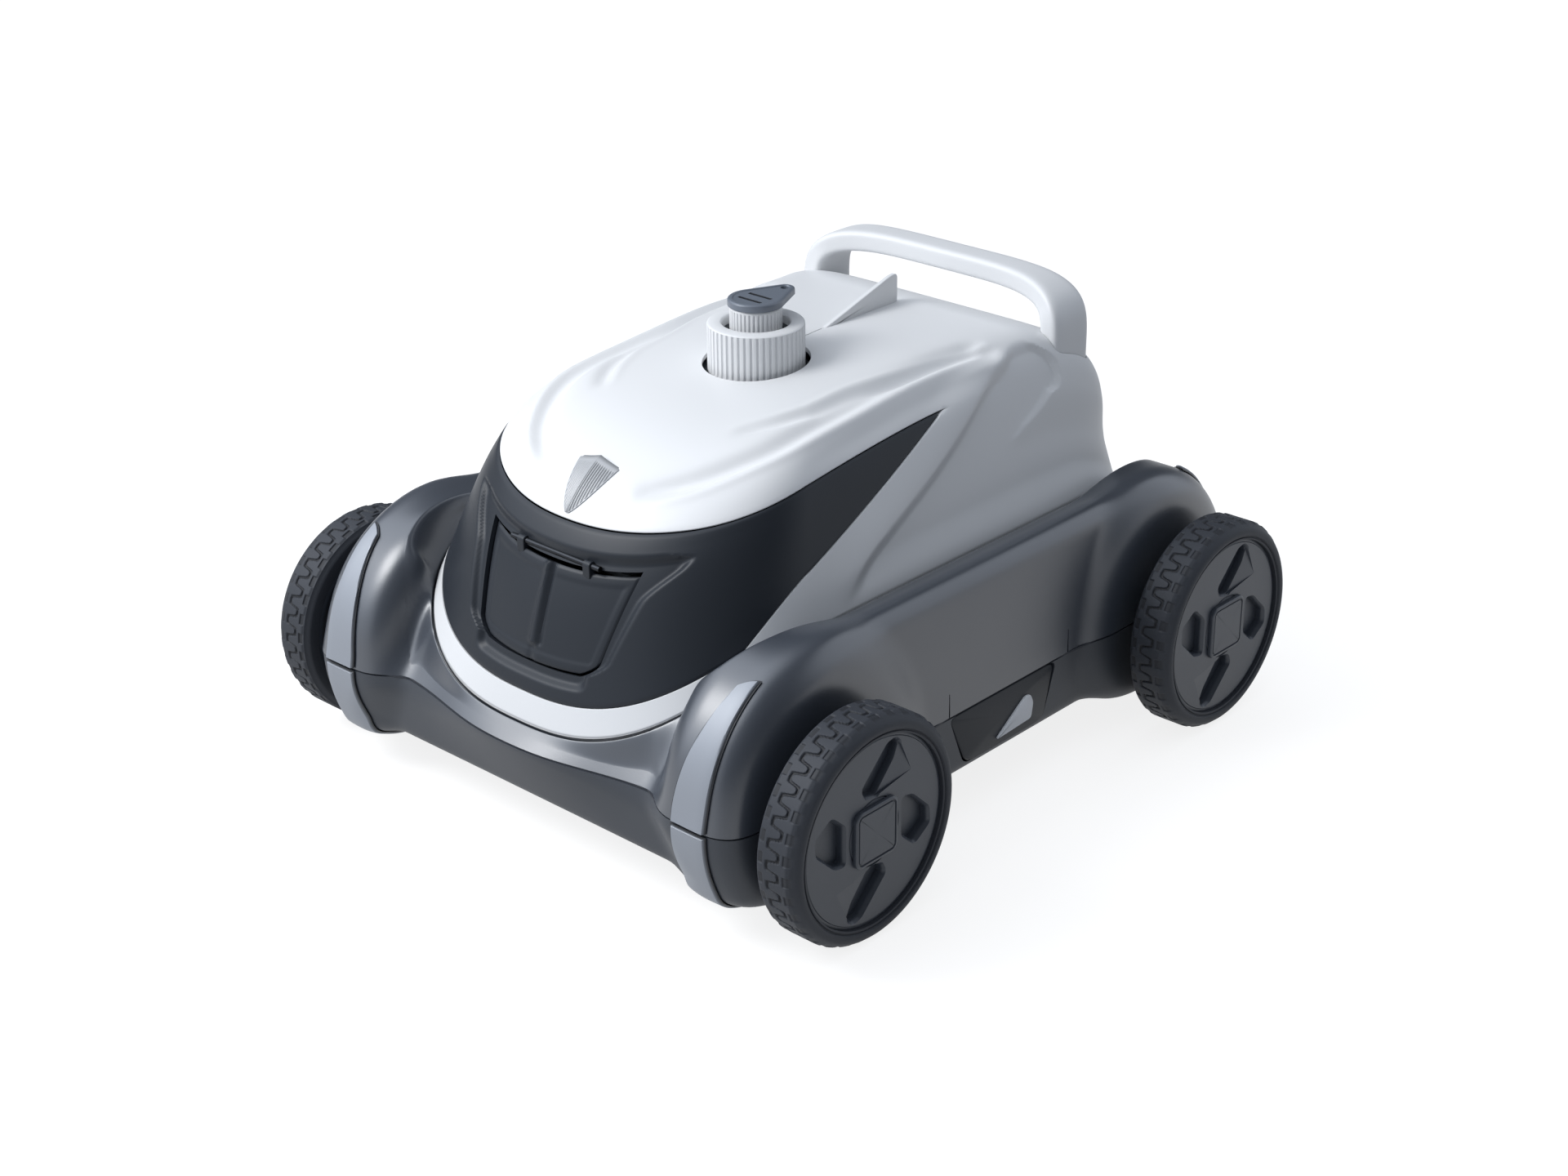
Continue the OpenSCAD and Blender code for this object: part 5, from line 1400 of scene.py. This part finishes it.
class CleanerColours(bpy.types.PropertyGroup):
    """Colours of the main finishes"""
    white: colour("White", "Covers, handle and controls", (0.80, 0.806, 0.812))
    graphite: colour("Graphite", "End panels, flaps, latches and cap", (0.024, 0.028, 0.035))
    slate: colour("Slate", "Upper hull and wheels", (0.050, 0.058, 0.073))
    base: colour("Base", "Lower hull", (0.036, 0.042, 0.053))
    rubber: colour("Rubber", "Tyres and seals", (0.034, 0.038, 0.047))
    strip: colour("Strips", "Corner strips and latch tabs", (0.29, 0.31, 0.345))
    lens: colour("Lens", "Status lens", (0.42, 0.43, 0.445))
    steel: colour("Steel", "Pins, axles and screws", (0.60, 0.60, 0.62))


class CleanerSizes(bpy.types.PropertyGroup):
    """Depths of the surface work, and the levels of the stage"""
    relief: bpy.props.FloatProperty(name="Relief", default=1.0, min=0, max=1.3,
                                    description="Depth of the creases on the cover, as a share")
    tread: bpy.props.FloatProperty(name="Tread", default=0.0009, min=0.0002, max=0.002, unit="LENGTH",
                                   description="Depth of the tyre tread in metres")
    key: bpy.props.FloatProperty(name="Key light", default=0.74, min=0,
                                 description="Light of the main lamps on a facing surface")
    fill: bpy.props.FloatProperty(name="Fill", default=0.85, min=0,
                                  description="Light of the surroundings from the bright side")
    shade: bpy.props.FloatProperty(name="Shade", default=0.06, min=0,
                                   description="Light of the surroundings from the dark side")
    gloss: bpy.props.FloatProperty(name="Gloss", default=2.3, min=0,
                                   description="Light of the soft patches that glossy surfaces mirror")
    shadow: bpy.props.FloatProperty(name="Shadow", default=0.34, min=0, max=1, subtype="FACTOR",
                                    description="Depth of the shadow on the floor")


FINISHES = {}
# near black: the floors of the cap's sunk bars, and painted shade in the upper hull's grooves
SUNK_MARK_AND_SHADE = (0.008, 0.009, 0.011)


def finish_of(name):
    """Material of one slot, made at first use from the colour settings."""
    c = bpy.context.scene.cleaner_colours
    white, slate = tuple(c.white), tuple(c.slate)
    recipes = {
        "white": lambda: moulded("satin_white", white, 0.42, speckle=0, grain=0.18, pitch=0.8, drift=0.02),
        # ring and knob: the second colour is painted shade in the knurls and flutes
        "knurled": lambda: moulded("knurled_white", white, 0.42, (0.60, 0.61, 0.63), grain=0.18, pitch=0.8,
                                   drift=0.02),
        "cap": lambda: moulded("satin_cap", (0.15, 0.172, 0.208), 0.36, SUNK_MARK_AND_SHADE, pitch=0.6, drift=0.15),
        "graphite": lambda: moulded("satin_graphite", tuple(c.graphite), 0.38, pitch=0.6, drift=0.25,
                                    specular=0.2),
        # upper hull: its second colour is painted shade in the grooves along the cover foot
        "slate": lambda: moulded("satin_slate", slate, 0.33, SUNK_MARK_AND_SHADE, specular=0.95),
        "base": lambda: moulded("matte_base", tuple(c.base), 0.52, grain=0.4, drift=0.25),
        # tyres: the second colour is painted shade in the tread grooves
        "rubber": lambda: moulded("soft_rubber", tuple(c.rubber), 0.62, (0.011, 0.012, 0.015), grain=0.5,
                                  pitch=0.5, drift=0.3, specular=0.35),
        "hub": lambda: moulded("satin_hub", slate, 0.42, speckle=0, grain=0.3),
        # latch tabs: pale, and set whiter than the covers as painted light against the shade they sit in
        "tab": lambda: moulded("satin_tab", (0.93, 0.94, 0.96), 0.42, pitch=0.6, drift=0.05),
        # strips: the second colour is painted shade on their sunk rims
        "strip": lambda: moulded("satin_strip", tuple(c.strip), 0.46, (0.012, 0.013, 0.016), metallic=0.15,
                                 pitch=0.6, drift=0.08),
        # lens: the second colour is painted shade in the rib grooves and round the rim
        "lens": lambda: moulded("ribbed_lens", tuple(c.lens), 0.3, (0.09, 0.095, 0.10), grain=0.1, pitch=0.6,
                                drift=0.1, coat=0.3),
        "steel": lambda: brushed("drawn_steel", tuple(c.steel)),
        # hinge pins: steel darkened as painted shade of the gap they sit in
        "dark_steel": lambda: brushed("blackened_steel", (0.03, 0.032, 0.036), 0.4),
        "filter": lambda: moulded("filter_frame", (0.16, 0.19, 0.24), 0.55, grain=0.4, pitch=0.9),
        "pump": lambda: moulded("pump_case", (0.06, 0.065, 0.07), 0.5, grain=0.4, pitch=0.8),
        "impeller": lambda: moulded("impeller_orange", (0.62, 0.17, 0.03), 0.38, pitch=0.8, drift=0.1),
        "can": lambda: moulded("motor_can", (0.04, 0.04, 0.045), 0.38, grain=0.3, pitch=1.1, drift=0.3,
                               metallic=0.4),
        "wrap": lambda: moulded("battery_wrap", (0.03, 0.08, 0.19), 0.3, grain=0.15, pitch=2.5),
        "board": lambda: moulded("control_case", (0.02, 0.10, 0.05), 0.45, pitch=1.4, drift=0.3),
    }
    if name not in FINISHES:
        FINISHES[name] = recipes[name]()
    return FINISHES[name]

CARRIED = {
    "rubber": ("hull_gasket", "shaft_seal", "intake_valve_front", "intake_valve_rear"),
    # the flap pins are darkened as painted shade of the hinge gap
    "dark_steel": ("flap_pins",),
    "steel": ("handle_screws", "stub_axles", "axle_washers", "axle_screws", "hull_screws"),
    "graphite": ("control_mast", "intake_plate"),
    "base": ("intake_seat",),
    "filter": ("filter_basket", "filter_lid"),
    "pump": ("pump_casing",),
    "impeller": ("impeller",),
    "can": ("pump_motor",),
    "wrap": ("battery_pack",),
    "board": ("control_box",),
}


class BuildStep(bpy.types.Operator):
    """Base of the building steps: runs build and reports a fault by raising it"""
    bl_idname = "cleaner.step"
    bl_label = "Step"

    def execute(self, context):
        self.build(context.scene.cleaner_sizes)
        return {"FINISHED"}


class BuildCovers(BuildStep):
    """Side cover and deck with creases, seams and the control well"""
    bl_idname = "cleaner.covers"
    bl_label = "Covers"

    def build(self, sizes):
        covers = (side_cover(sizes.relief), "side_shell"), (roof_cover(sizes.relief), "roof_shell")
        for obj, node in covers:
            coat_with(obj, finish_of("white"), "white_plastic")
            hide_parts(node)
            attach(obj, "chassis")
        coat_with(deck_keel(), finish_of("white"), "white_plastic")


class BuildPanels(BuildStep):
    """Dark end panels with the flap windows, and the status lens"""
    bl_idname = "cleaner.panels"
    bl_label = "End panels"

    def build(self, sizes):
        for name, lo, hi, cols, rear, node in (("visor_skin", -1.54, 1.54, 500, False, "visor"),
                                               ("tail_skin", 2.43, 3.57, 320, True, "tail_panel")):
            obj = coat_with(end_cover(name, lo, hi, cols, 92, rear), finish_of("graphite"),
                            "graphite_plastic")
            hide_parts(node)
            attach(obj, "chassis")
        coat_with(status_lens(), finish_of("lens"), "lens_plastic")


class BuildFlaps(BuildStep):
    """Outlet flaps with their middle ribs and hinge knuckles"""
    bl_idname = "cleaner.flaps"
    bl_label = "Outlet flaps"

    def build(self, sizes):
        coat_with(swing_flap("front_flap_skin", False), finish_of("graphite"), "graphite_plastic")
        coat_with(swing_flap("tail_flap_skin", True), finish_of("graphite"), "graphite_plastic")


class BuildHull(BuildStep):
    """Upper and lower hull halves"""
    bl_idname = "cleaner.hull"
    bl_label = "Hull"

    def build(self, sizes):
        for obj, node, look, slot in ((upper_hull_skin(), "upper_hull", "slate", "upper_hull_plastic"),
                                      (lower_hull_skin(), "lower_hull", "base", "lower_hull_plastic")):
            coat_with(obj, finish_of(look), slot)
            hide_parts(node)
            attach(obj, "chassis")


class BuildStrips(BuildStep):
    """Pale strips round the hull corners"""
    bl_idname = "cleaner.strips"
    bl_label = "Corner strips"

    def build(self, sizes):
        for upper in (True, False):
            coat_with(corner_strips(upper), finish_of("strip"), "strip_plastic")


class BuildHandle(BuildStep):
    """Carrying handle"""
    bl_idname = "cleaner.handle"
    bl_label = "Handle"

    def build(self, sizes):
        coat_with(handle_hoop(), finish_of("white"), "white_plastic")


class BuildControls(BuildStep):
    """Locking ring, knob and cap on the deck"""
    bl_idname = "cleaner.controls"
    bl_label = "Deck controls"

    def build(self, sizes):
        coat_with(locking_ring(), finish_of("knurled"), "white_plastic")
        coat_with(fluted_knob(), finish_of("knurled"), "white_plastic")
        coat_with(teardrop_cap(), finish_of("cap"), "graphite_plastic")


class BuildWheels(BuildStep):
    """Four wheels: treaded tyre, slotted hub and square cap each"""
    bl_idname = "cleaner.wheels"
    bl_label = "Wheels"

    def build(self, sizes):
        for obj in wheels(sizes.tread * 1000):
            tyre = obj.name.startswith("tyre")
            coat_with(obj, finish_of("rubber" if tyre else "hub"), "tyre" if tyre else "wheel_plastic")


class BuildLatches(BuildStep):
    """Side latches and their finger tabs"""
    bl_idname = "cleaner.latches"
    bl_label = "Side latches"

    def build(self, sizes):
        for obj, part, side in side_latches():
            look = "tab" if part == "latch_tab" else "graphite"
            coat_with(obj, finish_of(look), look + "_plastic")
            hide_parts("%s_%s" % (part, side))
            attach(obj, "side_latch_" + side)


class FinishCarried(BuildStep):
    """Finishes of the model's own parts that are shown as they are"""
    bl_idname = "cleaner.carried"
    bl_label = "Inner parts"

    def build(self, sizes):
        for look, names in CARRIED.items():
            for name in names:
                obj = bpy.data.objects[name]
                obj.data.materials.clear()
                obj.data.materials.append(finish_of(look))


class BuildStage(BuildStep):
    """White floor and surroundings, lamps and camera"""
    bl_idname = "cleaner.stage"
    bl_label = "Stage"

    def build(self, sizes):
        scene = bpy.context.scene
        r, u, b = camera_axes(CAMERA["azimuth"], CAMERA["elevation"], CAMERA["roll"])
        cam = bpy.data.cameras.new("camera")
        cam.lens, cam.sensor_width, cam.clip_start, cam.clip_end = CAMERA["lens"], 36, 0.05, 20
        obj = bpy.data.objects.new("camera", cam)
        scene.collection.objects.link(obj)
        at = Vector(CAMERA["target"]) + b * CAMERA["distance"]
        obj.matrix_world = Matrix((r, u, b)).transposed().to_4x4()
        obj.location = at
        scene.camera = obj

        f = Finish("floor_white")
        place_of = f.node("ShaderNodeTexCoord", output="Object")
        speck = f.noise(place_of, 40.0, 2.0)
        seen = f.node("ShaderNodeLightPath", output="Is Camera Ray")
        mirrored = f.node("ShaderNodeLightPath", output="Is Glossy Ray")
        pale = f.mix(speck * 0.03, (0.97, 0.97, 0.97), (0.93, 0.93, 0.93))
        shown = seen.math("MAXIMUM", mirrored)
        plain = f.node("ShaderNodeBsdfDiffuse", None, {"Color": f.mix(shown, (0.42, 0.43, 0.45), pale)})
        glow = f.node("ShaderNodeEmission", None, {"Color": (1, 1, 1), "Strength": 1.25})
        share = (seen + mirrored * 0.9) * (1 - sizes.shadow)
        floor = bpy.data.meshes.new("floor")
        floor.from_pydata([(-6, -6, 0), (6, -6, 0), (6, 6, 0), (-6, 6, 0)], [], [(0, 1, 2, 3)])
        base = place(floor, "floor")
        whole = f.node("ShaderNodeMixShader", None, {0: share, 1: plain, 2: glow})
        base.data.materials.append(f.finish(whole))

        scene.world = surroundings(sizes)
        lamps = [sun_lamp("key", (-0.45, -0.55, 0.7), 35, 0.22 * sizes.key),
                 near_lamp("near_key", (-0.40, -0.66, 0.78), (0, -0.12, 0.2), 0.45, 0.76 * sizes.key)]
        scene.view_settings.view_transform = "Standard"


STEPS = (BuildCovers, BuildPanels, BuildFlaps, BuildHull, BuildStrips, BuildHandle, BuildControls,
         BuildWheels, BuildLatches, FinishCarried, BuildStage)


class CleanerPanel(bpy.types.Panel):
    """Sidebar panel with the settings and the building steps"""
    bl_idname = "VIEW3D_PT_cleaner"
    bl_label = "Pool Cleaner"
    bl_space_type = "VIEW_3D"
    bl_region_type = "UI"
    bl_category = "Cleaner"

    def draw(self, context):
        for group in (context.scene.cleaner_colours, context.scene.cleaner_sizes):
            for name in group.__annotations__:
                self.layout.prop(group, name)
        for step in STEPS:
            self.layout.operator(step.bl_idname)


CLASSES = (CleanerColours, CleanerSizes) + STEPS + (CleanerPanel,)


def register():
    for cls in CLASSES:
        bpy.utils.register_class(cls)
    bpy.types.Scene.cleaner_colours = bpy.props.PointerProperty(type=CleanerColours)
    bpy.types.Scene.cleaner_sizes = bpy.props.PointerProperty(type=CleanerSizes)


def unregister():
    del bpy.types.Scene.cleaner_sizes
    del bpy.types.Scene.cleaner_colours
    for cls in reversed(CLASSES):
        bpy.utils.unregister_class(cls)


def main():
    register()
    for step in STEPS:
        group, name = step.bl_idname.split(".")
        if getattr(getattr(bpy.ops, group), name)() != {"FINISHED"}:
            raise RuntimeError(step.bl_label + " did not finish")


if __name__ == "__main__":
    main()
